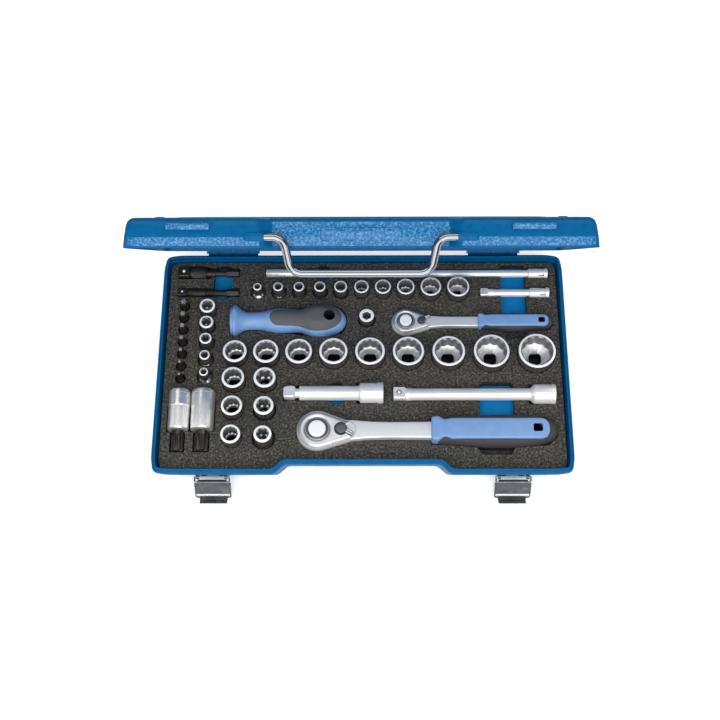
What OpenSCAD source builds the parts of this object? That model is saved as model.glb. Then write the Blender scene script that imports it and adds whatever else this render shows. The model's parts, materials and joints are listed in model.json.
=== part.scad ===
// Socket wrench set in a hinged steel case, drawn with the lid part open.
// Millimetres. X runs along the case, Y to the hinges, Z up; the origin is
// the middle of the tray's underside, on the table.

/* [Case] */
// outside length of the case
case_w = 320; // [240:5:420]
// outside depth of the case at the rim
case_d = 186; // [150:2:240]
// height of the tray shoulder that the lid closes on
rim_h = 28; // [22:0.5:45]
// how far the tray walls lean in from the shoulder down to the floor
tray_draft = 6.4; // [0:0.2:8]
// height of the lid wall
lid_h = 20.5; // [15:0.5:35]
// sheet thickness
sheet_t = 1.2; // [0.8:0.1:2]
// how far the lid stands open, degrees from shut
lid_open = 62; // [0:1:100]
// half width of the grip recess in the front wall
recess_half = 59; // [40:1:80]
// depth of the grip recess
recess_depth = 7.7; // [5:0.1:10]
// distance of the hinge line behind the rear wall
hinge_back = 3.4; // [3:0.1:6]
// distance of each hinge and latch from the middle
hinge_x = 105; // [70:1:130]

/* [Foam] */
// top of the dark foam layer
foam_top = 24; // [20:0.5:26]
// thickness of the dark layer over the blue one
dark_layer = 8; // [4:0.5:12]
// free space round each tool in its pocket
pocket_gap = 0.5; // [0.3:0.05:1.5]

/* [Handle] */
// handle wire diameter
wire_d = 5.5; // [4:0.1:8]
// reach of the handle from its pivot line
bail_reach = 24; // [18:0.5:32]
// bend radius of the handle wire
bail_bend = 9; // [6:0.5:14]
// half length of the straight grip bar
bail_half = 39.3; // [25:0.1:50]

/* [Latches] */
// distance of each latch from the middle
latch_x = 114; // [80:1:130]
// width of the latch plate
latch_w = 28; // [18:1:40]
// length of the latch plate from its pivot
latch_len = 18.6; // [16:0.2:30]

/* [Sockets] */
// first size of the long twelve-point row
big_first = 13; // [10:1:14]
// height of the larger sockets
big_len = 28; // [24:0.5:32]
// height of the smaller sockets
small_len = 25; // [20:0.5:28]
// how far the socket tops stand above the foam
socket_proud = 10.5; // [4:0.5:14]

/* [Lying tools] */
// height of the axis of the lying tools
axis_z = 24; // [20:0.5:27]
// height of the axis of the small lying tools
thin_z = 22.5; // [19:0.5:25]

/* [Hidden] */
$fn = 64;
eps = 0.01;

BLUE = [0.0, 0.36, 0.6];
CHROME = [0.82, 0.83, 0.85];
NICKEL = [0.5, 0.53, 0.56];
BLACK = [0.12, 0.11, 0.11];
GRIP = [0.4, 0.55, 0.85];
SKIN = [0.28, 0.28, 0.29];
DARK = [0.24, 0.23, 0.21];

// the rim steps out at the shoulder and carries an upright lip
shoulder_z = rim_h - 4;
lip_in = 2.2;
hinge_y = case_d / 2 + hinge_back;
lid_z = rim_h + 0.3;
hinge_z = lid_z;
lip_h = 2.2;
body_in = 1.6;
lid_draft = 3.1;
foam_floor = sheet_t + 0.1;
split_z = foam_top - dark_layer;
foam_in = 5.2;
// raised pads and label panel on the lid's front wall
pad_lo = 11.7;
pad_hi = 16.8;
pad_x = 115;
label_lo = 5.4;
label_w = 55;
label_h = 9.4;
// handle pivot line and the sleeves that hold it
bail_y = -case_d / 2 + 3.9;
bail_z = lid_z + 7.1;
bail_lean = 78;
boss_r = 4.3;
boss_x0 = 64.5;
boss_x1 = 77;
// latch wire loop and hook plate, hanging open
link_y = -case_d / 2;
link_z = 20.5;
link_len = 4.4;
link_half = 13.2;
link_tilt = 45;
hook_tilt = 58;
link_wire = 1.3;
pin_r = 1.25;
run_fit = 0.08;
socket_top = foam_top + socket_proud;
// square holes and drives of the larger and the smaller tools
big_hole = 9.7;
small_hole = 6.4;
hex_bit = 7.1;
hex_hole = 7.4;

// ---------------------------------------------------------------- sizes
function big_size(i) = i < 7 ? big_first + i : big_first + i + 1;
function big_od(s) = 1.13 * s + 3.9;
function gap_sum(i) = 5.0 * i + 0.15 * i * (i - 1);
function od_sum(i) = i == 0 ? 0 :
  od_sum(i - 1) + (big_od(big_size(i - 1)) + big_od(big_size(i))) / 2;
function big_x(i) = -99.5 + od_sum(i) + gap_sum(i);
big_y = 5.2;
// two short columns: twelve-point sockets and star sockets
col_x = [-100, -75.6];
col_y = [-17, -40.2, -63.4];
col_foot = 17.4;
function col_star_od(i) = 17 - 1.6 * i;
function col_star_af(i) = 12 - 1.5 * i;

small_sizes = [4, 5, 5.5, 6, 7, 8, 9, 10, 12, 13];
function small_od(s) = 1.22 * s + 1.7;
function foot_od(s) = max(small_od(s), 11.8);
function small_x(i) = i == 0 ? -84 : small_x(i - 1) + 4.8 +
  (foot_od(small_sizes[i - 1]) + foot_od(small_sizes[i])) / 2;
small_y = 61.5;

function star_od(i) = 12.2 - 1.35 * i;
function star_y(i) = 44.8 - 14.2 * i;
star_x = -122.9;
star_foot = 12.4;
function bit_y(i) = 48.8 - 10.4 * i;
function bit_star(i) = 6.6 - 0.62 * i;
bit_x = -142;
bit_z = 8;

// ratchet: head radius, button radius, ring radius, tail distance, tail
// radius, lever distance, shank width, grip start, grip end, grip width,
// head, shank and grip thickness, square, hang hole radius and distance
BIG_R = [15, 6.7, 9.4, 23, 7.2, 18.2, 13, 87, 183, 24.5,
  13, 9, 18.5, 9.5, 3.3, 167.6];
SMALL_R = [10.4, 4.8, 6.6, 15.3, 5, 12.8, 8.2, 57, 116.4, 14.6,
  9.6, 6.4, 12.5, 6.3, 2.4, 107];
big_ratchet_at = [-34.6, -57.8, axis_z];
small_ratchet_at = [33.9, 34, axis_z];

// bar extensions: start, end, y, axis height, square, shaft and cup
// diameters, cup length, neck length
LONG_BIG = [23.7, 148.8, -27.3, axis_z, 9.5, 9.6, 16.2, 16, 4];
LONG_SMALL = [0.7, 148.8, 78.5, thin_z, 6.3, 6.2, 9, 15.5, 0.8];
SHORT_SMALL = [94, 149.2, 61, thin_z, 6.3, 6.2, 9, 15.5, 0.8];
// short extension with a barrel-shaped square
short_at = [-61.2, -26.2, axis_z];
short_len = 77.3;
short_cup = 57.5;
// thin lying tools and their lengths
holder_at = [-78.2, 79, thin_z];
holder_len = 57.9;
quick_at = [-148.6, 79, thin_z];
quick_len = 48.8;
sleeve_r = 5.15;
square_at = [-148.2, 61.3, thin_z];
square_len = 48.9;
bit_adaptor_at = [3.1, 37, 8.6];
bit_adaptor_d = 13.2;
// bit sockets and their star tips, left and right
bit_socket_x = [-141.4, -123.1];
bit_socket_d = [17.2, 18.6];
bit_socket_y = -24.4;
bit_socket_len = 33.1;
tip_d = [9.6, 10.8];
tip_in = 19.2;
tip_len = 30.2;

// spinner handle: radius and distance from its drive end
spin_at = [-104.6, 35.5, axis_z];
spin_flat = 12.2;
SPIN = [[0, 0], [11.5, 0], [11.5, 2.2], [13.3, 2.4], [13.3, 4], [9.4, 10],
  [7.7, 15], [7.9, 24], [9.9, 38], [10.6, 46], [11.6, 55], [13.2, 66],
  [13.4, 74], [12.6, 82], [9.6, 88.5], [4.5, 91.4], [0, 91.6]];

// finger slots through the dark layer: left, right, front, back, radius
SLOTS = [[110.5, 130.5, 39, 86.4, 3], [-120, -105, 54.6, 86.4, 6],
  [-39, -25, 72, 86, 6.9], [-30.2, -11.7, -35.5, -17, 9.2],
  [90.2, 116.8, -47, -17, 4]];
// shallow slots in front of the ratchet grips: left, right, front, back
GRIP_SLOTS = [[88, 115.7, -76.6, -60], [110.6, 129.8, 20, 34]];

// ---------------------------------------------------------------- outlines
module case_outline(inset = 0) {
  w = case_w / 2;
  d = case_d / 2;
  offset(r = 3.5, $fn = 24) offset(delta = -3.5 - inset)
    polygon([[-w, d - 12], [-w + 1.8, d - 1.8], [-w + 12, d],
      [w - 12, d], [w - 1.8, d - 1.8], [w, d - 12],
      [w, -d + 12], [w - 1.8, -d + 1.8], [w - 12, -d],
      [recess_half + 8, -d], [recess_half, -d + recess_depth],
      [-recess_half, -d + recess_depth], [-recess_half - 8, -d],
      [-w + 12, -d], [-w + 1.8, -d + 1.8], [-w, -d + 12]]);
}

module slab(z0, z1) {
  translate([0, 0, z0]) linear_extrude(height = z1 - z0) children();
}

module rod_x(x0, x1, r) {
  translate([x0, 0, 0]) rotate([0, 90, 0]) cylinder(r = r, h = x1 - x0);
}

module both_sides() {
  children();
  mirror([1, 0, 0]) children();
}

// a form that hangs from height z and leans in on its way down by h
module hanging(z, h, inset, lean) {
  translate([0, 0, z]) mirror([0, 0, 1]) linear_extrude(height = h,
    scale = [1 - 2 * lean / case_w, 1 - 2 * lean / case_d], slices = 1)
    case_outline(inset);
}

// ---------------------------------------------------------------- tray
function lean_to(z) = tray_draft * (shoulder_z - z) / shoulder_z;
function wall_y(z) = (case_d / 2 - body_in) * (1 - 2 * lean_to(z) / case_d);

module case_tray() {
  cavity = shoulder_z - sheet_t;
  color(BLUE) difference() {
    union() {
      hanging(shoulder_z + eps, shoulder_z + eps, body_in, tray_draft);
      slab(shoulder_z, rim_h) case_outline(0);
      slab(rim_h - eps, rim_h + lip_h) case_outline(lip_in);
    }
    hanging(shoulder_z + eps, cavity + eps, body_in + sheet_t, lean_to(sheet_t));
    slab(shoulder_z - 0.3, rim_h - 2) case_outline(body_in + sheet_t + 0.2);
    slab(rim_h - 2 - eps, rim_h + lip_h + 1) case_outline(lip_in + sheet_t);
  }
}

module tray_hinge_leaf() {
  low = 11;
  bend = 22.5;
  difference() {
    translate([-20, 0, 0]) rotate([90, 0, 90]) linear_extrude(height = 40)
      polygon([[wall_y(low) + 0.02, low], [wall_y(low) + 1.5, low],
        [wall_y(bend) + 1.7, bend], [case_d / 2 + 1.8, shoulder_z],
        [hinge_y + 1.5, hinge_z - 2.2], [hinge_y, hinge_z],
        [hinge_y - 2.4, hinge_z - 0.6], [case_d / 2 + 0.1, rim_h - 1.5],
        [case_d / 2 + 0.1, shoulder_z - 0.1],
        [wall_y(shoulder_z) + 0.02, shoulder_z - 0.1]]);
    for (x = [-12.4, 0.1]) translate([x, hinge_y, hinge_z])
      rod_x(0, 12.3, 3.2);
    translate([0, hinge_y, hinge_z]) rod_x(-21, 21, pin_r + run_fit);
  }
  for (x = [-20, 12.7]) translate([x, hinge_y, hinge_z]) knuckle(7.3);
}

module knuckle(len) {
  difference() {
    rod_x(0, len, 2.6);
    rod_x(-1, len + 1, pin_r + run_fit);
  }
}

module tray_hinge_leaves() {
  color(BLUE) both_sides() translate([hinge_x, 0, 0]) tray_hinge_leaf();
}

module hinge_pins() {
  color(NICKEL) for (s = [-1, 1]) translate([s * hinge_x, hinge_y, hinge_z]) {
    rod_x(-20.6, 20.6, pin_r);
    rod_x(-21.4, -20.4, 2.1);
    rod_x(20.4, 21.4, 2.1);
  }
}

// ---------------------------------------------------------------- foam
module pocket(z, top) {
  translate([0, 0, z]) linear_extrude(height = top - z + 1) children();
}

module lying_pocket(x0, x1, y, w, z) {
  pocket(z, foam_top) translate([x0 - pocket_gap, y - w / 2 - pocket_gap])
    square([x1 - x0 + 2 * pocket_gap, w + 2 * pocket_gap]);
}

module round_pocket(x, y, d, z) {
  pocket(z, foam_top) translate([x, y]) circle(d = d + 2 * pocket_gap);
}

module finger_slot(k) {
  pocket(split_z - 1, foam_top) translate([k[0] + k[4], k[2] + k[4]])
    offset(r = k[4]) square([k[1] - k[0] - 2 * k[4], k[3] - k[2] - 2 * k[4]]);
}

module grip_slot(k) {
  slant = 2.5;
  pocket(split_z + 1, foam_top) polygon([[k[0] + slant, k[2]],
    [k[1] - slant, k[2]], [k[1], k[2] + 2 * slant], [k[1], k[3]],
    [k[0], k[3]], [k[0], k[2] + 2 * slant]]);
}

module ratchet_pocket(k, at) {
  w = k[9] / 2 + pocket_gap;
  translate([at[0], at[1], 0]) {
    pocket(at[2] - k[10] / 2 - 0.5, foam_top) offset(delta = pocket_gap)
      head_plan(k, 0.8);
    pocket(at[2] - k[11] / 2 - 0.5, foam_top)
      translate([0, -k[6] / 2 - pocket_gap - 0.8])
      square([k[7], k[6] + 2 * pocket_gap + 1.6]);
    pocket(at[2] - k[12] / 2 - 0.5, foam_top) {
      offset(delta = pocket_gap) grip_plan(k);
      translate([k[7] - pocket_gap, -w * 0.84]) square([w, w * 1.68]);
    }
    pocket(at[2] - k[10] / 2 - k[13] - 1.5, foam_top) circle(d = k[13] * 1.414 + 2);
  }
}

module bar_pocket(k) {
  lying_pocket(k[0], k[1], k[2], k[5] + 0.4, k[3] - k[4] / 2 - 0.7);
  lying_pocket(k[1] - k[7] - k[8], k[1], k[2], k[6], k[3] - k[6] / 2 - 0.6);
}

module thin_pocket(at, length, w, deep) {
  lying_pocket(at[0], at[0] + length, at[1], w, at[2] - deep);
}

module spinner_pocket() {
  n = len(SPIN);
  pocket(spin_at[2] - spin_flat - 0.8, foam_top) translate([spin_at[0], spin_at[1]])
    offset(delta = pocket_gap)
    polygon(concat([for (k = SPIN) [k[1], k[0]]],
      [for (i = [n - 2:-1:1]) [SPIN[i][1], -SPIN[i][0]]]));
}

module bit_socket_pocket() {
  gap = pocket_gap;
  left = bit_socket_x[0] - bit_socket_d[0] / 2 - gap;
  right = bit_socket_x[1] + bit_socket_d[1] / 2 + gap;
  pocket(axis_z - bit_socket_d[1] / 2 - 0.3, foam_top)
    translate([left, bit_socket_y - bit_socket_len - gap])
    square([right - left, bit_socket_len + 2 * gap]);
  for (i = [0, 1]) pocket(axis_z - tip_d[i] / 2 - 1.4, foam_top)
    translate([bit_socket_x[i] - tip_d[i] / 2 - 1,
      bit_socket_y - tip_in - tip_len - 0.8]) square([tip_d[i] + 2, 20]);
}

module tool_pockets() {
  big_floor = socket_top - big_len - 0.3;
  small_floor = socket_top - small_len - 0.8;
  for (i = [0:8]) round_pocket(big_x(i), big_y, big_od(big_size(i)), big_floor);
  for (i = [0:2]) {
    round_pocket(col_x[0], col_y[i], big_od(12 - i), big_floor);
    round_pocket(col_x[1], col_y[i], col_foot, big_floor);
  }
  for (i = [0:9]) round_pocket(small_x(i), small_y, foot_od(small_sizes[i]),
    small_floor);
  for (i = [0:4]) round_pocket(star_x, star_y(i), star_foot, small_floor);
  for (i = [0:6]) round_pocket(bit_x, bit_y(i), hex_bit + 0.5, bit_z - 0.3);
  round_pocket(bit_adaptor_at[0], bit_adaptor_at[1], bit_adaptor_d,
    bit_adaptor_at[2] - 0.4);
  ratchet_pocket(BIG_R, big_ratchet_at);
  ratchet_pocket(SMALL_R, small_ratchet_at);
  spinner_pocket();
  for (k = [LONG_BIG, LONG_SMALL, SHORT_SMALL]) bar_pocket(k);
  thin_pocket(short_at, short_len, 11.8, 6.5);
  lying_pocket(short_at[0] + short_cup - 1, short_at[0] + short_len, short_at[1],
    17, short_at[2] - 9.1);
  thin_pocket(holder_at, holder_len, 7.6, 4.4);
  thin_pocket(quick_at, quick_len, 7.6, 4.9);
  thin_pocket(quick_at, 25.6, 2 * sleeve_r + 0.1, sleeve_r + 0.6);
  thin_pocket(square_at, square_len, 7.4, 4.4);
  bit_socket_pocket();
}

module foam_insert() {
  color(DARK) difference() {
    slab(split_z, foam_top) case_outline(foam_in);
    tool_pockets();
    for (k = SLOTS) finger_slot(k);
    for (k = GRIP_SLOTS) grip_slot(k);
  }
}

module foam_backing() {
  color(BLUE) difference() {
    hanging(shoulder_z, shoulder_z - foam_floor, body_in + sheet_t + 0.3,
      lean_to(foam_floor));
    slab(split_z, shoulder_z + 1) square([case_w, case_d], center = true);
    tool_pockets();
  }
}

// ---------------------------------------------------------------- lid
module at_lid() {
  translate([0, hinge_y, hinge_z]) rotate([-lid_open, 0, 0])
    translate([0, -hinge_y, -hinge_z]) children();
}

function taper(h) = [(case_w - 2 * lid_draft * h / lid_h) / case_w,
  (case_d - 2 * lid_draft * h / lid_h) / case_d];

// stiffening panel and four feet on the outside of the lid
panel = [242, 144];
foot_x = 137;
foot_y = [-68, 74];

module drafted(inset, h) {
  linear_extrude(height = h, scale = taper(h), slices = 1)
    case_outline(inset);
}

module front_face(up) {
  lean = atan(lid_draft / lid_h);
  translate([0, -case_d / 2, lid_z]) rotate([-lean, 0, 0])
    translate([0, 0, up]) children();
}

module case_lid() {
  color(BLUE) at_lid() difference() {
    union() {
      difference() {
        translate([0, 0, lid_z]) drafted(0, lid_h);
        translate([0, 0, lid_z - eps]) drafted(sheet_t, lid_h - sheet_t);
      }
      slab(lid_z + lid_h - eps, lid_z + lid_h + 0.6) offset(r = 6)
        square(panel, center = true);
      for (x = [-foot_x, foot_x], y = foot_y)
        translate([x, y, lid_z + lid_h - eps]) cylinder(d1 = 7.3, d2 = 6, h = 1.1);
      front_face(pad_lo) for (s = [-1, 1]) translate([s * pad_x - 15, -1.6, 0])
        cube([30, 2.2, pad_hi - pad_lo]);
      front_face(label_lo) translate([-label_w / 2, recess_depth - 0.7, 0])
        cube([label_w, 1.2, label_h]);
    }
    both_sides() translate([0, bail_y, bail_z]) {
      boss_form(0.02);
      rod_x(recess_half - 6, boss_x0 + eps, wire_d / 2 + 0.9);
    }
  }
}

module lid_hinge_leaf() {
  y0 = case_d / 2 + 0.05;
  fall = lid_draft / lid_h;
  difference() {
    translate([-12.3, 0, 0]) rotate([90, 0, 90]) linear_extrude(height = 24.6)
      polygon([[y0, lid_z + 0.2], [hinge_y - 1.2, hinge_z - 0.4],
        [hinge_y + 0.6, hinge_z + 2.3], [y0 + 1.6, lid_z + 4.2],
        [y0 + 1.5 - 15 * fall, lid_z + 15], [y0 - 15 * fall, lid_z + 15]]);
    translate([-2.2, hinge_y, hinge_z]) rod_x(-11, 16, pin_r + run_fit);
    translate([-0.4, hinge_y - 4, hinge_z - 4]) cube([0.8, 8, 7.2]);
  }
  for (x = [-12.1, 0.5]) translate([x, hinge_y, hinge_z]) knuckle(11.6);
}

module lid_hinge_leaves() {
  color(BLUE) at_lid() both_sides() translate([hinge_x, 0, 0]) lid_hinge_leaf();
}

module boss_form(grow = 0) {
  rod_x(boss_x0, boss_x1, boss_r + grow);
  translate([boss_x1 - eps, 0, 0]) rotate([0, 90, 0])
    cylinder(r1 = boss_r + grow, r2 = 2.2 + grow, h = 2.4 + grow);
}

module handle_sockets() {
  color(BLUE) at_lid() both_sides() translate([0, bail_y, bail_z]) difference() {
    boss_form();
    rod_x(boss_x0 - 1, boss_x1 - 0.6, wire_d / 2 + run_fit);
  }
}

module wire_bend(r, a) {
  rotate_extrude(angle = a) translate([r, 0]) circle(d = wire_d - 0.06);
}

module carry_handle() {
  a = bail_lean;
  arc_x = recess_half;
  leg = (bail_reach - 2 * bail_bend * (1 - cos(a))) / sin(a);
  color(CHROME) at_lid() translate([0, bail_y, bail_z]) rotate([-90, 0, 0]) {
    both_sides() {
      rod_x(arc_x - 0.3, boss_x1 - 1, wire_d / 2);
      translate([arc_x, bail_bend, 0]) rotate([0, 0, -90 - a])
        wire_bend(bail_bend, a);
      translate([arc_x - bail_bend * sin(a), bail_bend * (1 - cos(a)), 0])
        rotate([-90, 0, 90 - a]) translate([0, 0, -0.3])
        cylinder(d = wire_d, h = leg + 0.6);
      translate([bail_half, bail_reach - bail_bend, 0]) rotate([0, 0, 90 - a])
        wire_bend(bail_bend, a);
    }
    translate([0, bail_reach, 0])
      rod_x(-bail_half - 0.3, bail_half + 0.3, wire_d / 2);
  }
}

// ---------------------------------------------------------------- latches
module latch_brackets() {
  low = 9;
  high = shoulder_z - 0.4;
  rivet = 13;
  lug = 1.9;
  lean = atan((wall_y(high) - wall_y(low)) / (high - low));
  color(NICKEL) for (s = [-1, 1]) translate([s * latch_x, 0, 0]) {
    difference() {
      translate([-12, 0, 0]) rotate([90, 0, 90]) linear_extrude(height = 24)
        polygon([[-wall_y(low) - 1.02, low], [-wall_y(low) - 0.02, low],
          [-wall_y(high) - 0.02, high], [-wall_y(high) - 1.02, high]]);
      for (x = [-7, 7]) translate([x, -wall_y(rivet), rivet])
        rotate([90 + lean, 0, 0]) cylinder(d = 3.2, h = 4, center = true);
    }
    for (x = [-7, 7]) translate([x, -wall_y(rivet), rivet])
      rotate([90 + lean, 0, 0]) {
        translate([0, 0, 0.04]) cylinder(d = 3.2, h = 1.1);
        translate([0, 0, 1.09]) cylinder(d1 = 5, d2 = 3.4, h = 0.8);
      }
    for (x = [-12, 9.6]) difference() {
      union() {
        translate([x, link_y, link_z - lug])
          cube([2.4, -wall_y(link_z + lug) - 0.05 - link_y, 2 * lug]);
        translate([x, link_y, link_z]) rod_x(0, 2.4, lug);
      }
      translate([x - 1, link_y, link_z]) rod_x(0, 5, link_wire / 2 + run_fit);
    }
  }
}

module at_link(s) {
  translate([s * latch_x, link_y, link_z]) rotate([link_tilt, 0, 0]) children();
}

module link_loop() {
  r = link_wire / 2;
  rod_x(-link_half, link_half, r);
  translate([0, -link_len, 0]) rod_x(-link_half, link_half, r);
  for (x = [-link_half, link_half]) {
    translate([x, 0, 0]) rotate([90, 0, 0]) cylinder(r = r, h = link_len);
    translate([x, 0, 0]) sphere(r = r);
    translate([x, -link_len, 0]) sphere(r = r);
  }
}

module latch_link_left() {
  color(CHROME) at_link(-1) link_loop();
}

module latch_link_right() {
  color(CHROME) at_link(1) link_loop();
}

module hook_plate() {
  r0 = link_wire / 2 + run_fit;
  half = latch_w / 2;
  tab = half - 3.2;
  low = -r0 - 1;
  difference() {
    union() {
      rod_x(-11, 11, r0 + 1);
      translate([-11, -2.4, low]) cube([22, 2.4, 1]);
      translate([0, 0, low]) linear_extrude(height = 1) polygon([[-half, -2.2],
        [half, -2.2], [half - 0.7, -latch_len + 3.4], [half - 0.7, -latch_len + 2],
        [-half + 0.7, -latch_len + 2], [-half + 0.7, -latch_len + 3.4]]);
      translate([-tab, -latch_len, low]) cube([2 * tab, 2.4, 1]);
      translate([-tab, -latch_len, low]) cube([2 * tab, 1, 5.5]);
      translate([-half + 0.7, -latch_len + 5.4, low - 0.5])
        cube([latch_w - 1.4, 1, 0.6]);
    }
    rod_x(-20, 20, r0);
  }
}

module at_hook(s) {
  at_link(s) translate([0, -link_len, 0]) rotate([hook_tilt - link_tilt, 0, 0])
    children();
}

module latch_hook_left() {
  color(NICKEL) at_hook(-1) hook_plate();
}

module latch_hook_right() {
  color(NICKEL) at_hook(1) hook_plate();
}

// ---------------------------------------------------------------- ratchets
module head_plan(k, grow = 0) {
  hull() {
    circle(r = k[0] + grow);
    translate([k[3], -0.6]) circle(r = k[4] + grow);
  }
}

module grip_plan(k) {
  w = k[9] / 2;
  translate([k[7], 0]) offset(r = 3) offset(delta = -3) polygon([
    [0, -w * 0.8], [w * 0.4, -w * 0.87], [w * 1.2, -w * 0.87],
    [w * 2.6, -w], [w * 5, -w * 1.04], [k[8] - k[7] - w * 0.55, -w * 0.86],
    [k[8] - k[7], -w * 0.36], [k[8] - k[7], w * 0.36],
    [k[8] - k[7] - w * 0.55, w * 0.86], [w * 5, w * 1.04], [w * 2.6, w],
    [w * 1.2, w * 0.87], [w * 0.4, w * 0.87], [0, w * 0.8]]);
}

module core_plan(k) {
  w = k[9] / 2;
  difference() {
    translate([k[7], 0]) union() {
      polygon([[0, -w * 0.75], [w * 0.4, -w * 0.82], [w * 0.6, -w * 0.76],
        [w, -w * 0.62], [w, w * 0.62], [w * 0.6, w * 0.76],
        [w * 0.4, w * 0.82], [0, w * 0.75]]);
      translate([w * 0.7, -w * 0.6]) square([k[8] - k[7] - w * 2, w * 1.2]);
      translate([w * 1.5, 0]) offset(r = w * 0.4) offset(delta = -w * 0.4)
        translate([0, -w * 0.7]) square([k[8] - k[7] - w * 2, w * 1.4]);
    }
    translate([k[15], 0]) circle(r = k[14]);
  }
}

module ratchet_body(k) {
  t = k[10] / 2;
  difference() {
    union() {
      slab(-t, -t + 1.2) offset(delta = -1) head_plan(k);
      slab(-t + 1.2, t - 3.5) head_plan(k, 0.8);
      slab(t - 3.5, t) offset(delta = -0.4) head_plan(k);
      slab(-k[11] / 2, k[11] / 2) polygon([[k[3], -k[6] / 2 - 0.8],
        [k[7], -k[6] / 2], [k[7] + 14, -k[6] / 2 + 1], [k[7] + 14, k[6] / 2 - 1],
        [k[7], k[6] / 2], [k[3], k[6] / 2 + 0.8]]);
    }
    translate([0, 0, -t - 1]) cylinder(r = k[2] + run_fit, h = 2 * t + 2);
    translate([k[5], 0, t - 2.2]) cylinder(r = k[4] * 0.72, h = 3);
  }
}

module ratchet_drive(k) {
  t = k[10] / 2;
  difference() {
    union() {
      translate([0, 0, -t - 0.4]) cylinder(r = k[2], h = 2 * t + 0.2);
      translate([-k[13] / 2, -k[13] / 2, -t - k[13] - 0.6])
        cube([k[13], k[13], k[13] + 1]);
      translate([k[13] / 2 - 0.4, 0, -t - k[13] * 0.55]) sphere(d = k[13] * 0.3);
    }
    translate([0, 0, t - 4]) cylinder(r = k[1] + 0.3, h = 6);
    translate([0, 0, -2]) cylinder(r = k[1] * 0.35 + 0.3, h = t);
  }
}

module ratchet_button(k) {
  t = k[10] / 2;
  translate([0, 0, t - 1.6]) cylinder(r = k[1], h = 2.2);
  translate([0, 0, t + 0.6 - eps]) cylinder(r1 = k[1], r2 = k[1] - 0.6, h = 0.5);
  translate([0, 0, 0]) cylinder(r = k[1] * 0.35, h = t - 1.5);
}

module ratchet_lever(k, a) {
  r = k[4] * 0.58;
  t = k[10] / 2;
  translate([k[5], 0, t - 1.8]) cylinder(r = r - 0.5, h = 2.2);
  translate([k[5], 0, t + 0.3]) rotate([0, 0, a]) linear_extrude(height = 1.6)
    hull() {
      circle(r = r);
      translate([k[4] * 1.25, 0]) circle(r = k[4] * 0.24);
    }
}

module ratchet_core(k) {
  t = k[12] / 2;
  difference() {
    union() {
      slab(-t + 1.2, t - 1.2) core_plan(k);
      slab(t - 1.2 - eps, t) offset(delta = -0.7) core_plan(k);
      slab(-t, -t + 1.2 + eps) offset(delta = -0.7) core_plan(k);
    }
    slab(-k[11] / 2 - 0.02, k[11] / 2 + 0.02)
      translate([k[7] - 1, -k[6] / 2 - 0.03]) square([15.05, k[6] + 0.06]);
  }
}

module ratchet_skin(k) {
  t = k[12] / 2 - 0.8;
  difference() {
    union() {
      slab(-t + 2, t - 2) grip_plan(k);
      slab(t - 2 - eps, t) offset(delta = -1.6) grip_plan(k);
      slab(-t, -t + 2 + eps) offset(delta = -1.6) grip_plan(k);
    }
    slab(-t - 2, t + 2) offset(delta = 0.02) core_plan(k);
    translate([k[15], 0, -t - 3]) cylinder(r = k[14] + 0.1, h = 2 * t + 6);
  }
}

module at_big() {
  translate(big_ratchet_at) children();
}

module at_small() {
  translate(small_ratchet_at) children();
}

module large_ratchet_body() { color(CHROME) at_big() ratchet_body(BIG_R); }
module large_ratchet_drive() { color(NICKEL) at_big() ratchet_drive(BIG_R); }
module large_ratchet_lever() { color(NICKEL) at_big() ratchet_lever(BIG_R, -28); }
module large_ratchet_button() { color(CHROME) at_big() ratchet_button(BIG_R); }
module large_ratchet_grip() { color(GRIP) at_big() ratchet_core(BIG_R); }
module large_ratchet_skin() { color(SKIN) at_big() ratchet_skin(BIG_R); }
module small_ratchet_body() { color(CHROME) at_small() ratchet_body(SMALL_R); }
module small_ratchet_drive() { color(NICKEL) at_small() ratchet_drive(SMALL_R); }
module small_ratchet_lever() { color(NICKEL) at_small() ratchet_lever(SMALL_R, 28); }
module small_ratchet_button() { color(CHROME) at_small() ratchet_button(SMALL_R); }
module small_ratchet_grip() { color(GRIP) at_small() ratchet_core(SMALL_R); }
module small_ratchet_skin() { color(SKIN) at_small() ratchet_skin(SMALL_R); }

// ---------------------------------------------------------------- spinner
spin_well = 6.6;

module at_spin() {
  translate(spin_at) children();
}

module spinner_form() {
  intersection() {
    rotate([90, 0, 90]) rotate_extrude() polygon(SPIN);
    translate([-1, -20, -spin_flat]) cube([100, 40, 2 * spin_flat]);
  }
}

module insert_zone(grow = 0) {
  for (s = [0, 180]) rotate([s, 0, 0]) slab(7, 15) offset(delta = grow)
    hull() {
      translate([37.5, 0]) circle(r = 5.6);
      translate([80, 0]) circle(r = 9);
      translate([66, 0]) circle(r = 9.4);
    }
}

module hang_hole() {
  translate([77.8, 0, -20]) cylinder(r = 4.3, h = 40);
}

module spinner_handle() {
  color(GRIP) at_spin() difference() {
    spinner_form();
    insert_zone();
    hang_hole();
    translate([-1, -spin_well / 2, -spin_well / 2]) cube([13, spin_well, spin_well]);
  }
}

module spinner_insert() {
  color(SKIN) at_spin() difference() {
    intersection() {
      spinner_form();
      insert_zone(-0.02);
    }
    hang_hole();
  }
}

module spinner_drive() {
  w = spin_well - 0.06;
  color(CHROME) at_spin() difference() {
    translate([0.6, -w / 2, -w / 2]) cube([11.3, w, w]);
    rod_x(0, 9, 2.4);
  }
}

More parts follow.
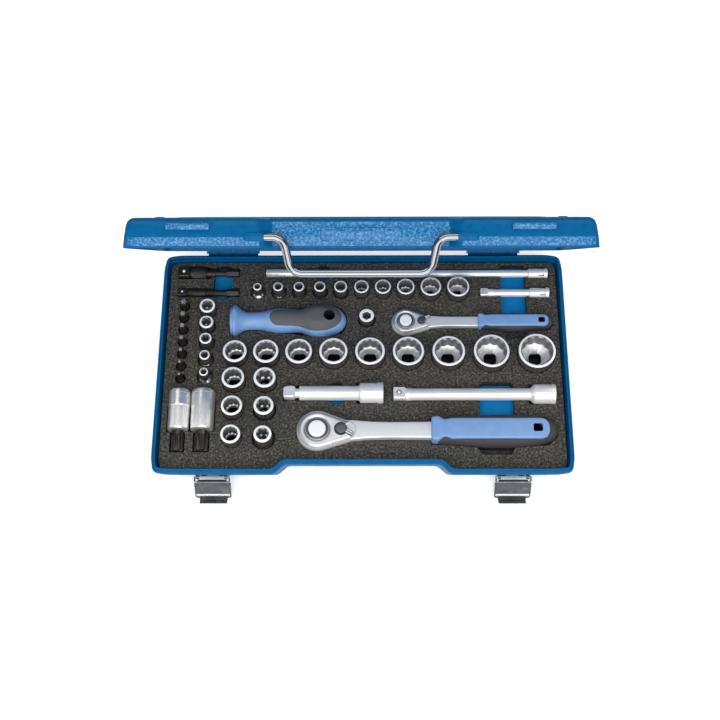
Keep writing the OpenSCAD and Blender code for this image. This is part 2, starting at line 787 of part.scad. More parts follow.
// ---------------------------------------------------------------- lying tools
module long_bar(k) {
  end = k[1] - k[0];
  sq = k[4];
  neck = end - k[7] - k[8];
  translate([k[0], k[2], k[3]]) difference() {
    union() {
      translate([0, -sq / 2, -sq / 2]) cube([sq, sq, sq]);
      translate([sq * 0.5, 0, sq / 2 - 0.35]) sphere(d = sq * 0.32);
      rod_x(sq - eps, sq + 5, sq / 2 + 0.1);
      rod_x(sq + 4.9, neck + eps, k[5] / 2);
      translate([neck, 0, 0]) rotate([0, 90, 0])
        cylinder(r1 = k[5] / 2, r2 = k[6] / 2, h = k[8]);
      rod_x(end - k[7] - eps, end, k[6] / 2);
    }
    translate([end - sq - 1.5, -sq / 2 - 0.1, -sq / 2 - 0.1])
      cube([sq + 3, sq + 0.2, sq + 0.2]);
    translate([end - 3.4, 0, 0]) difference() {
      rod_x(0, 0.8, k[6]);
      rod_x(-1, 2, k[6] / 2 - 0.4);
    }
  }
}

module hex_x(x0, x1, d) {
  translate([x0, 0, 0]) rotate([0, 90, 0]) cylinder(d = d, h = x1 - x0, $fn = 6);
}

module square_x(x0, x1, w) {
  translate([x0, -w / 2, -w / 2]) cube([x1 - x0, w, w]);
}

module large_long_extension() { color(CHROME) long_bar(LONG_BIG); }
module small_long_extension() { color(CHROME) long_bar(LONG_SMALL); }
module small_short_extension() { color(CHROME) long_bar(SHORT_SMALL); }

module large_short_extension() {
  color(CHROME) translate(short_at) difference() {
    union() {
      square_x(0, 2, 8.2);
      square_x(1.9, 8.9, 9.5);
      square_x(8.8, 12.2, 7.8);
      rod_x(12, short_cup + 0.1, 5.8);
      rod_x(short_cup, short_cup + 1.5, 7.2);
      rod_x(short_cup + 1.4, 71.8, 8.2);
      rod_x(71.8 - eps, short_len, 8.5);
    }
    square_x(short_len - 11.1, short_len + 2, big_hole);
  }
}

module bit_holder() {
  color(CHROME) translate(holder_at) difference() {
    union() {
      rod_x(0, 32.2, 3.8);
      hex_x(32.1, 42.1, hex_bit);
      rod_x(42, 46, 2.7);
      hex_x(45.9, holder_len, hex_bit);
    }
    hex_x(-1, 11, hex_hole);
  }
}

module quick_adaptor() {
  color(BLACK) translate(quick_at) {
    square_x(0, 9, 8.4);
    translate([4.4, 0, 3.9]) sphere(d = 2.8);
    rod_x(8.9, 30, 3.2);
    rod_x(29.9, 38.5, 2.6);
    hex_x(38.4, quick_len, hex_bit);
  }
}

module quick_adaptor_sleeve() {
  color(BLACK) translate(quick_at) difference() {
    rod_x(9.9, 22.6, sleeve_r);
    rod_x(9, 30, 3.2 + run_fit);
  }
}

module square_adaptor() {
  color(BLACK) translate(square_at) {
    square_x(0, 7.5, 6.3);
    translate([3.4, 0, 2.9]) sphere(d = 2.2);
    rod_x(7.4, 22.4, 3.3);
    rod_x(22.3, 39, 2.6);
    hex_x(38.9, square_len, hex_bit);
  }
}

module bit_adaptor() {
  top_d = 11.9;
  color(CHROME) translate(bit_adaptor_at) difference() {
    union() {
      cylinder(d = bit_adaptor_d, h = 11.5);
      translate([0, 0, 11.4]) cylinder(d1 = bit_adaptor_d, d2 = top_d, h = 2);
      translate([0, 0, 13.3]) cylinder(d = top_d, h = 9.7);
    }
    translate([0, 0, 11]) cylinder(d = hex_hole, h = 13, $fn = 6);
    translate([-small_hole / 2, -small_hole / 2, -1])
      cube([small_hole, small_hole, 9]);
  }
}

// ---------------------------------------------------------------- bits
module star_plan(d) {
  circle(d = d * 0.74);
  for (a = [0:60:300]) rotate(a) translate([d * 0.36, 0]) circle(d = d * 0.28);
}

module star_bits() {
  color(BLACK) for (i = [0:6]) translate([bit_x, bit_y(i), bit_z]) {
    d = bit_star(i);
    cylinder(d = hex_bit, h = 15.5, $fn = 6);
    translate([0, 0, 15.4]) cylinder(d1 = hex_bit - 0.5, d2 = d * 0.9 + 0.5, h = 2.4);
    translate([0, 0, 17.7]) linear_extrude(height = 7.3) star_plan(d);
  }
}

module bit_socket(i) {
  d = bit_socket_d[i];
  waist = d - 0.8;
  translate([bit_socket_x[i], bit_socket_y, axis_z]) rotate([90, 0, 0]) difference() {
    union() {
      cylinder(d1 = waist, d2 = d, h = 1);
      translate([0, 0, 1 - eps]) cylinder(d = d, h = 13.4);
      translate([0, 0, 14.3]) cylinder(d = waist, h = bit_socket_len - 15.1);
      translate([0, 0, bit_socket_len - 0.9]) cylinder(d1 = waist, d2 = d - 3, h = 0.9);
    }
    translate([-big_hole / 2, -big_hole / 2, -1]) cube([big_hole, big_hole, 11.5]);
    translate([0, 0, tip_in - 0.2]) cylinder(d = 9.1, h = 15, $fn = 6);
  }
}

module star_tip(i) {
  translate([bit_socket_x[i], bit_socket_y - tip_in, axis_z]) rotate([90, 0, 0]) {
    cylinder(d = 9, h = 14.2, $fn = 6);
    translate([0, 0, 14.1]) cylinder(d1 = 8.4, d2 = tip_d[i], h = 1.6);
    translate([0, 0, 15.6]) linear_extrude(height = tip_len - 15.6) star_plan(tip_d[i]);
  }
}

module bit_socket_left() { color(CHROME) bit_socket(0); }
module bit_socket_right() { color(CHROME) bit_socket(1); }
module star_tip_left() { color(BLACK) star_tip(0); }
module star_tip_right() { color(BLACK) star_tip(1); }

// ---------------------------------------------------------------- sockets
module cup(od, foot, len, af, sq, points) {
  step = foot > od + 0.6 ? len * 0.52 : 2;
  difference() {
    union() {
      cylinder(d1 = foot - 0.8, d2 = foot, h = 1);
      translate([0, 0, 1 - eps]) cylinder(d = foot, h = step - 1);
      translate([0, 0, step - eps]) cylinder(d1 = foot, d2 = od, h = 1.6);
      translate([0, 0, step + 1.5]) cylinder(d = od, h = len - step - 2);
      translate([0, 0, len - 0.5 - eps]) cylinder(d1 = od, d2 = od - 0.8, h = 0.5);
    }
    translate([0, 0, len * 0.52]) {
      if (points == 12) for (a = [0, 30]) rotate(a)
        cylinder(d = af * 1.1547, h = len, $fn = 6);
      if (points == 6) linear_extrude(height = len) star_plan(af * 1.06);
    }
    translate([0, 0, 1]) cylinder(d1 = min(sq * 1.05, af * 0.84), d2 = af * 0.9,
      h = len * 0.52 - 0.9);
    translate([-sq / 2, -sq / 2, -1]) cube([sq, sq, len * 0.4 + 1]);
    translate([0, 0, len + eps - af * 0.06])
      cylinder(d1 = af, d2 = af * 1.19, h = af * 0.06);
  }
}

module big_socket(s, x, y) {
  color(CHROME) translate([x, y, socket_top - big_len])
    cup(big_od(s), big_od(s), big_len, s, big_hole, 12);
}

module socket_13() { big_socket(big_size(0), big_x(0), big_y); }
module socket_14() { big_socket(big_size(1), big_x(1), big_y); }
module socket_15() { big_socket(big_size(2), big_x(2), big_y); }
module socket_16() { big_socket(big_size(3), big_x(3), big_y); }
module socket_17() { big_socket(big_size(4), big_x(4), big_y); }
module socket_18() { big_socket(big_size(5), big_x(5), big_y); }
module socket_19() { big_socket(big_size(6), big_x(6), big_y); }
module socket_21() { big_socket(big_size(7), big_x(7), big_y); }
module socket_22() { big_socket(big_size(8), big_x(8), big_y); }
module socket_12() { big_socket(12, col_x[0], col_y[0]); }
module socket_11() { big_socket(11, col_x[0], col_y[1]); }
module socket_10() { big_socket(10, col_x[0], col_y[2]); }

module large_star_sockets() {
  color(CHROME) for (i = [0:2])
    translate([col_x[1], col_y[i], socket_top - big_len])
      cup(col_star_od(i), col_foot, big_len, col_star_af(i), big_hole, 6);
}

module small_sockets() {
  color(CHROME) for (i = [0:9]) {
    s = small_sizes[i];
    translate([small_x(i), small_y, socket_top - small_len - 0.5])
      cup(small_od(s), foot_od(s), small_len, s, small_hole, 12);
  }
}

module small_star_sockets() {
  color(CHROME) for (i = [0:4])
    translate([star_x, star_y(i), socket_top - small_len - 0.5])
      cup(star_od(i), star_foot, small_len, star_od(i) * 0.68, small_hole, 6);
}

// ---------------------------------------------------------------- drawing
case_tray();
foam_insert();
foam_backing();
tray_hinge_leaves();
hinge_pins();
latch_brackets();
case_lid();
lid_hinge_leaves();
handle_sockets();
carry_handle();
latch_link_left();
latch_link_right();
latch_hook_left();
latch_hook_right();
large_ratchet_body();
large_ratchet_drive();
large_ratchet_lever();
large_ratchet_button();
large_ratchet_grip();
large_ratchet_skin();
small_ratchet_body();
small_ratchet_drive();
small_ratchet_lever();
small_ratchet_button();
small_ratchet_grip();
small_ratchet_skin();
spinner_handle();
spinner_insert();
spinner_drive();
large_long_extension();
large_short_extension();
small_long_extension();
small_short_extension();
bit_holder();
quick_adaptor();
quick_adaptor_sleeve();
square_adaptor();
bit_adaptor();
star_bits();
bit_socket_left();
bit_socket_right();
star_tip_left();
star_tip_right();
socket_13();
socket_14();
socket_15();
socket_16();
socket_17();
socket_18();
socket_19();
socket_21();
socket_22();
socket_12();
socket_11();
socket_10();
large_star_sockets();
small_sockets();
small_star_sockets();
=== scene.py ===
"""Socket wrench set in a hinged steel case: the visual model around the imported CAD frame.

Lengths in this script are millimetres until a mesh is finished, when they become metres.
"""
import json
import math

import bpy
import bmesh
from mathutils import Matrix, Vector


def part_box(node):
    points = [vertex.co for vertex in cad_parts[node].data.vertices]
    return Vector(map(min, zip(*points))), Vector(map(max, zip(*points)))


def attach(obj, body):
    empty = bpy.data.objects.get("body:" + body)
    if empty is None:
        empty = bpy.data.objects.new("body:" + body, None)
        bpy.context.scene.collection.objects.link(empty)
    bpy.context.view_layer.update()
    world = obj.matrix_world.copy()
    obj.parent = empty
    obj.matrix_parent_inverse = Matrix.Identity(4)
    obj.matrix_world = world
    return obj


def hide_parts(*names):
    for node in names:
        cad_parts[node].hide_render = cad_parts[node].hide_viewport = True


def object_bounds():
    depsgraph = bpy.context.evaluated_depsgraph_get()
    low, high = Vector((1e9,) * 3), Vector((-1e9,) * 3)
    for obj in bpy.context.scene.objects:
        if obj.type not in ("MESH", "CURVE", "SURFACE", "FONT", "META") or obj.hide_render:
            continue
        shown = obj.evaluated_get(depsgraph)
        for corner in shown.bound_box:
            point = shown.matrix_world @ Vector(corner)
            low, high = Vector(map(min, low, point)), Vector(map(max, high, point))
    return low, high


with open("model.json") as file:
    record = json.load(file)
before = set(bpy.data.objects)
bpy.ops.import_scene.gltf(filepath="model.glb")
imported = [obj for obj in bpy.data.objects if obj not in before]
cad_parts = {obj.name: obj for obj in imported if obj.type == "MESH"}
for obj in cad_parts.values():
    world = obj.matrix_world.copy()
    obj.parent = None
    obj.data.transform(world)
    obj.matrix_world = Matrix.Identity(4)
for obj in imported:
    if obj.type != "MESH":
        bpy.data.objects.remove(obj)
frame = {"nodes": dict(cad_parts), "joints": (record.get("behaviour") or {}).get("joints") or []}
CAD_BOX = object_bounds()
MM = 0.001
JOINTS = {j["name"]: j for j in frame["joints"]}


# ------------------------------------------------------------------ frame readings
def box_mm(node):
    """Lowest and highest corner of a CAD node, in millimetres."""
    lo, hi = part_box(node)
    return lo / MM, hi / MM


def centre_mm(node):
    """The middle of a CAD node's box, in millimetres."""
    lo, hi = box_mm(node)
    return (lo + hi) / 2


def solids_mm(node):
    """The (lowest, highest) corners of each separate solid of a CAD node, in millimetres."""
    bm = bmesh.new()
    bm.from_mesh(frame["nodes"][node].data)
    bmesh.ops.remove_doubles(bm, verts=bm.verts, dist=1e-6)
    left, boxes = set(bm.verts), []
    while left:
        stack, found = [left.pop()], []
        while stack:
            vert = stack.pop()
            found.append(vert.co / MM)
            for edge in vert.link_edges:
                other = edge.other_vert(vert)
                if other in left:
                    left.remove(other)
                    stack.append(other)
        lo = Vector([min(c[i] for c in found) for i in range(3)])
        hi = Vector([max(c[i] for c in found) for i in range(3)])
        boxes.append((lo, hi))
    bm.free()
    return boxes


# ------------------------------------------------------------------ plane shapes
def circle(radius, n=64):
    """n points at equal angles on a circle."""
    return [(radius * math.cos(2 * math.pi * i / n), radius * math.sin(2 * math.pi * i / n))
            for i in range(n)]


def polar(radius_at, n):
    """n points at equal angles, at the radius that radius_at gives for each angle."""
    angles = [2 * math.pi * i / n for i in range(n)]
    return [(radius_at(a) * math.cos(a), radius_at(a) * math.sin(a)) for a in angles]


def flat_radius(angle, sides, apothem, turn=0.0):
    """The distance from the centre of a regular polygon to its edge, at an angle."""
    step = 2 * math.pi / sides
    off = (angle - turn + step / 2) % step - step / 2
    return apothem / math.cos(off)


def prism(sides, apothem, n, corner=1.0):
    """A regular polygon whose corners are cut back to corner times their radius."""
    top = apothem / math.cos(math.pi / sides) * corner
    return polar(lambda a: min(flat_radius(a, sides, apothem), top), n)


def twelve(across, n):
    """The opening of a twelve-point socket: two hexagons a twelfth of a turn apart."""
    half = across / 2 * 0.985
    return polar(lambda a: max(flat_radius(a, 6, half), flat_radius(a, 6, half, math.pi / 6)), n)


def star(size, n, grow=0.0):
    """A six-lobed star of the given outer size."""
    def radius(a):
        off = (a + math.pi / 6) % (math.pi / 3) - math.pi / 6
        reach, lobe, valley = size * 0.36, size * 0.14, size * 0.37
        under = lobe ** 2 - (reach * math.sin(off)) ** 2
        out = reach * math.cos(off) + math.sqrt(under) if under > 0 else 0
        return max(out, valley) + grow
    return polar(radius, n)


def rounded(points, radii, k=6):
    """A polygon with each corner turned into an arc of k + 1 points."""
    made, count = [], len(points)
    for i, point in enumerate(points):
        p = Vector(point)
        before = (Vector(points[i - 1]) - p)
        after = (Vector(points[(i + 1) % count]) - p)
        radius = radii[i] if isinstance(radii, (list, tuple)) else radii
        u, v = before.normalized(), after.normalized()
        turn = math.pi - u.angle(v)
        reach = min(radius * math.tan(turn / 2), before.length * 0.49, after.length * 0.49)
        for j in range(k + 1):
            t = j / k
            a, b = p + u * reach * (1 - t), p + v * reach * t
            made.append(tuple(a * (1 - t) + b * t))
    return made


def mitred(points, inset):
    """A counter-clockwise polygon moved in by inset on every side."""
    made, count = [], len(points)
    for i, point in enumerate(points):
        p = Vector(point)
        u = (p - Vector(points[i - 1])).normalized()
        v = (Vector(points[(i + 1) % count]) - p).normalized()
        normal_u, normal_v = Vector((-u.y, u.x)), Vector((-v.y, v.x))
        mid = (normal_u + normal_v).normalized()
        made.append(tuple(p + mid * inset / max(mid.dot(normal_u), 0.3)))
    return made


def rectangle(x0, y0, x1, y1):
    """Four corners, counter-clockwise."""
    return [(x0, y0), (x1, y0), (x1, y1), (x0, y1)]


def arc(x, y, radius, start, sweep, steps):
    """Points on an arc around (x, y), from the angle start over sweep degrees."""
    angles = [math.radians(start + sweep * i / steps) for i in range(steps + 1)]
    return [(x + radius * math.cos(a), y + radius * math.sin(a)) for a in angles]


def swell(start, end, t0, t1, steps=6):
    """(distance, radius) pairs that swell smoothly from radius start to radius end."""
    made = []
    for i in range(1, steps + 1):
        f = i / steps
        made.append((t0 + (t1 - t0) * f, start + (end - start) * (1 - math.cos(math.pi * f)) / 2))
    return made


def rings(pairs, n):
    """Stations from (distance, radius) pairs."""
    return [(t, circle(r, n)) for t, r in pairs]


def squares(pairs, n, corner=0.92):
    """Stations from (distance, half width) pairs, with the corners of a drive square."""
    return [(t, prism(4, half, n, corner)) for t, half in pairs]


def hexagons(pairs, n):
    """Stations from (distance, half width) pairs, with the corners of a bit's shank."""
    return [(t, prism(6, half, n, 0.97)) for t, half in pairs]


# ------------------------------------------------------------------ solids
AXIS_Z = Matrix.Identity(3)
AXIS_X = Matrix(((0, 0, 1), (1, 0, 0), (0, 1, 0)))
AXIS_FRONT = Matrix(((1, 0, 0), (0, 0, -1), (0, 1, 0)))


class Shape:
    """One piece's mesh, gathered in millimetres from lofted parts."""

    def __init__(self):
        self.bm = bmesh.new()

    def loft(self, rings, bands=0, caps=(True, True), close=False):
        """Faces between rings of equal counts; bands gives the material of each band of faces."""
        rows = [[self.bm.verts.new(p) for p in ring] for ring in rings]
        n = len(rows[0])
        pairs = list(zip(rows, rows[1:]))
        if close:
            pairs.append((rows[-1], rows[0]))
        faces = []
        for b, (lower, upper) in enumerate(pairs):
            index = bands if isinstance(bands, int) else bands[b]
            for i in range(n):
                j = (i + 1) % n
                face = self.bm.faces.new((lower[i], lower[j], upper[j], upper[i]))
                face.material_index = index
                faces.append(face)
        if not close:
            for wanted, row, b in ((caps[0], rows[0], 0), (caps[1], rows[-1], -1)):
                if wanted:
                    face = self.bm.faces.new(row)
                    face.material_index = bands if isinstance(bands, int) else bands[b]
                    faces.append(face)
        bmesh.ops.recalc_face_normals(self.bm, faces=faces)
        return self

    def turned(self, at, axis, stations, bands=0, caps=(True, True), close=False):
        """Plane shapes strung along an axis from the point at: stations hold (distance, shape)."""
        start = Vector(at)
        rings = [[start + axis @ Vector((u, v, t)) for u, v in shape] for t, shape in stations]
        return self.loft(rings, bands, caps, close)

    def plate(self, outline, levels):
        """Stacked outlines: outline(inset) gives the points and levels hold (z, inset)."""
        return self.loft([[Vector((x, y, z)) for x, y in outline(inset)] for z, inset in levels], 0)

    def ball(self, at, radius, index=0):
        made = bmesh.ops.create_uvsphere(self.bm, u_segments=20, v_segments=12, radius=radius)
        for vert in made["verts"]:
            vert.co += Vector(at)
        for face in {f for v in made["verts"] for f in v.link_faces}:
            face.material_index = index
        return self

    def sweep(self, path, radius, n=20, close=False, index=0):
        """A round wire along the points of path."""
        points = [Vector(p) for p in path]
        count, rings = len(points), []
        normal = None
        for i, p in enumerate(points):
            ahead = points[(i + 1) % count] if close or i < count - 1 else p
            behind = points[i - 1] if close or i > 0 else p
            tangent = (ahead - behind).normalized()
            if normal is None:
                normal = tangent.orthogonal().normalized()
            normal = (normal - tangent * normal.dot(tangent)).normalized()
            side = tangent.cross(normal)
            rings.append([p + (normal * u + side * v) for u, v in circle(radius, n)])
        return self.loft(rings, index, close=close)

    def mesh(self, name):
        made = bpy.data.meshes.new(name)
        self.bm.to_mesh(made)
        self.bm.free()
        return made

    def moved(self, matrix):
        bmesh.ops.transform(self.bm, matrix=matrix, verts=self.bm.verts)
        return self

    def tint(self, index, wanted):
        """Give the faces whose centre and normal pass a test the material of that index."""
        self.bm.normal_update()
        for face in self.bm.faces:
            if wanted(face.calc_center_median(), face.normal):
                face.material_index = index
        return self

    def cut(self, *others):
        """Take the other shapes away from this one."""
        whole = bpy.data.objects.new("whole", self.mesh("whole"))
        bpy.context.scene.collection.objects.link(whole)
        tools = []
        for other in others:
            tool = bpy.data.objects.new("tool", other.mesh("tool"))
            bpy.context.scene.collection.objects.link(tool)
            modifier = whole.modifiers.new("cut", "BOOLEAN")
            modifier.operation, modifier.object, modifier.solver = "DIFFERENCE", tool, "EXACT"
            tools.append(tool)
        bpy.context.view_layer.update()
        shaped = whole.evaluated_get(bpy.context.evaluated_depsgraph_get())
        self.bm = bmesh.new()
        self.bm.from_mesh(shaped.to_mesh())
        for thing in [whole, *tools]:
            bpy.data.objects.remove(thing)
        return self

    def done(self, name, body, slot, materials, nodes=(), sharp=32):
        """Finish the piece: scale it to metres, shade it, and hang it on its CAD body."""
        self.moved(Matrix.Scale(MM, 4))
        mesh = self.mesh(name)
        for material in materials if isinstance(materials, (list, tuple)) else [materials]:
            mesh.materials.append(material)
        mesh.shade_smooth()
        mesh.set_sharp_from_angle(angle=math.radians(sharp))
        piece = bpy.data.objects.new(name, mesh)
        bpy.context.scene.collection.objects.link(piece)
        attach(piece, body)
        if nodes:
            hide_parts(*nodes)
        return piece


def keep(node, material, edge=0.0):
    """A CAD node that stays as it is, with its finish and softened edges."""
    piece = frame["nodes"][node]
    piece.data.materials.clear()
    piece.data.materials.append(material)
    weld = piece.modifiers.new("weld", "WELD")
    weld.merge_threshold = 1e-6
    if edge:
        bevel = piece.modifiers.new("soft_edges", "BEVEL")
        bevel.width, bevel.segments, bevel.limit_method = edge * MM, 2, "ANGLE"
        bevel.angle_limit = math.radians(40)
        bevel.harden_normals = True
    return piece


# ------------------------------------------------------------------ materials
class Finish:
    """A Principled material and short calls for the nodes behind it."""

    def __init__(self, name, base, metallic, rough, **sockets):
        self.material = bpy.data.materials.new(name)
        self.material.use_nodes = True
        self.tree = self.material.node_tree
        self.shader = self.tree.nodes["Principled BSDF"]
        self.shader.inputs["Base Color"].default_value = (*base, 1)
        self.shader.inputs["Metallic"].default_value = metallic
        self.shader.inputs["Roughness"].default_value = rough
        for key, value in sockets.items():
            self.shader.inputs[key.replace("_", " ")].default_value = value
        self.where = self.tree.nodes.new("ShaderNodeTexCoord").outputs["Object"]

    def link(self, out, into):
        self.tree.links.new(out, into)

    def stretched(self, factors):
        mapping = self.tree.nodes.new("ShaderNodeMapping")
        mapping.inputs["Scale"].default_value = factors
        self.link(self.where, mapping.inputs["Vector"])
        return mapping.outputs["Vector"]

    def noise(self, size_mm, detail=3.0, rough=0.55, stretch=None):
        node = self.tree.nodes.new("ShaderNodeTexNoise")
        node.inputs["Scale"].default_value = 1 / (size_mm * MM)
        node.inputs["Detail"].default_value = detail
        node.inputs["Roughness"].default_value = rough
        self.link(self.stretched(stretch) if stretch else self.where, node.inputs["Vector"])
        return node.outputs["Fac"]

    def cells(self, size_mm):
        node = self.tree.nodes.new("ShaderNodeTexVoronoi")
        node.feature = "SMOOTH_F1"
        node.inputs["Smoothness"].default_value = 0.6
        node.inputs["Scale"].default_value = 1 / (size_mm * MM)
        self.link(self.where, node.inputs["Vector"])
        return node.outputs["Distance"]

    def ramp(self, factor, stops):
        node = self.tree.nodes.new("ShaderNodeValToRGB")
        elements = node.color_ramp.elements
        while len(elements) < len(stops):
            elements.new(0.5)
        for element, (place, colour) in zip(elements, stops):
            element.position = place
            element.color = (*colour, 1) if isinstance(colour, tuple) else (colour,) * 3 + (1,)
        self.link(factor, node.inputs["Fac"])
        return node.outputs["Color"]

    def colour(self, factor, stops):
        self.link(self.ramp(factor, stops), self.shader.inputs["Base Color"])
        return self

    def above(self, height_mm, high, low):
        """One colour above a height on the piece and another below it."""
        split = self.tree.nodes.new("ShaderNodeSeparateXYZ")
        self.link(self.where, split.inputs[0])
        step = self.tree.nodes.new("ShaderNodeMath")
        step.operation = "GREATER_THAN"
        step.inputs[1].default_value = height_mm * MM
        self.link(split.outputs["Z"], step.inputs[0])
        mix = self.tree.nodes.new("ShaderNodeMix")
        mix.data_type = "RGBA"
        self.link(step.outputs[0], mix.inputs["Factor"])
        self.link(low, mix.inputs[6])
        self.link(high, mix.inputs[7])
        self.link(mix.outputs[2], self.shader.inputs["Base Color"])
        return self

    def roughness(self, factor, stops):
        self.link(self.ramp(factor, stops), self.shader.inputs["Roughness"])
        return self

    def bump(self, *layers):
        """Relief from (height, depth in millimetres) layers."""
        normal = None
        for height, depth in layers:
            node = self.tree.nodes.new("ShaderNodeBump")
            node.inputs["Strength"].default_value = 1.0
            node.inputs["Distance"].default_value = depth * MM
            self.link(height, node.inputs["Height"])
            if normal:
                self.link(normal, node.inputs["Normal"])
            normal = node.outputs["Normal"]
        self.link(normal, self.shader.inputs["Normal"])
        return self


SPLIT_Z = box_mm("foam_insert")[0].z


def spread(low, high):
    """The two ends of a gentle change, at three and seven tenths of a pattern."""
    return [(0.3, low), (0.7, high)]


def plain(name, base, metallic, rough, colour=None, shine=None, relief=(), **sockets):
    """A finish whose colour, roughness and relief follow noise patterns.

    A pattern is (size in millimetres, detail, roughness, stretch). colour and shine are a pattern
    and its stops, and relief holds patterns with their depth in millimetres.
    """
    made = Finish(name, base, metallic, rough, **sockets)
    if colour:
        made.colour(made.noise(*colour[0]), colour[1])
    if shine:
        made.roughness(made.noise(*shine[0]), shine[1])
    if relief:
        made.bump(*[(made.noise(*pattern), depth) for pattern, depth in relief])
    return made.material


def make_enamels():
    """The case's lacquer, smooth, and as coarse orange peel whose pale speckle is painted highlight.
    """
    paint = Finish("enamel_blue", (0.0, 0.1, 0.26), 0.0, 0.4,
                   Coat_Weight=0.1, Coat_Roughness=0.12, Specular_IOR_Level=0.05)
    paint.colour(paint.noise(5.0, 4), [(0.3, (0.0, 0.085, 0.23)), (0.5, (0.0, 0.1, 0.262)),
                                       (0.75, (0.0, 0.115, 0.295))])
    paint.roughness(paint.noise(2.2), spread(0.35, 0.48))
    paint.bump((paint.cells(2.6), 0.08), (paint.noise(1.4, 2), 0.03))

    highlit_peel = Finish("enamel_peel_painted_highlight", (0.02, 0.16, 0.38), 0.0, 0.35,
                  Coat_Weight=0.35, Coat_Roughness=0.12, Specular_IOR_Level=0.2)
    # painted highlight: the pale blue speckle stands in for lamp light caught by the peel
    highlit_peel.colour(highlit_peel.noise(1.5, 3, 0.6), [(0.36, (0.0, 0.1, 0.28)), (0.5, (0.012, 0.15, 0.36)),
                                          (0.64, (0.085, 0.29, 0.54))])
    highlit_peel.bump((highlit_peel.cells(1.3), 0.25), (highlit_peel.noise(1.1, 2), 0.1))
    return {"enamel": paint.material, "highlit_peel": highlit_peel.material}


def make_blue_foam():
    """The lower foam layer: bright blue on the slots' floors, and a near-black slate of painted shade
    below that height, in the deeper pockets.
    """
    blue = Finish("foam_blue", (0.0, 0.21, 0.56), 0.0, 0.8, Specular_IOR_Level=0.25)
    high = blue.ramp(blue.noise(0.9, 4, 0.6), [(0.3, (0.0, 0.22, 0.56)), (0.6, (0.001, 0.3, 0.72)),
                                               (0.8, (0.01, 0.36, 0.8))])
    # painted shade: the pocket walls and floors below the slots' floors get near-black slate instead
    # of the foam's blue
    low = blue.ramp(blue.noise(1.2, 4, 0.6), spread((0.012, 0.014, 0.02), (0.03, 0.036, 0.052)))
    blue.above(SPLIT_Z - 0.4, high, low)
    blue.bump((blue.noise(0.8, 3), 0.2))
    return blue.material


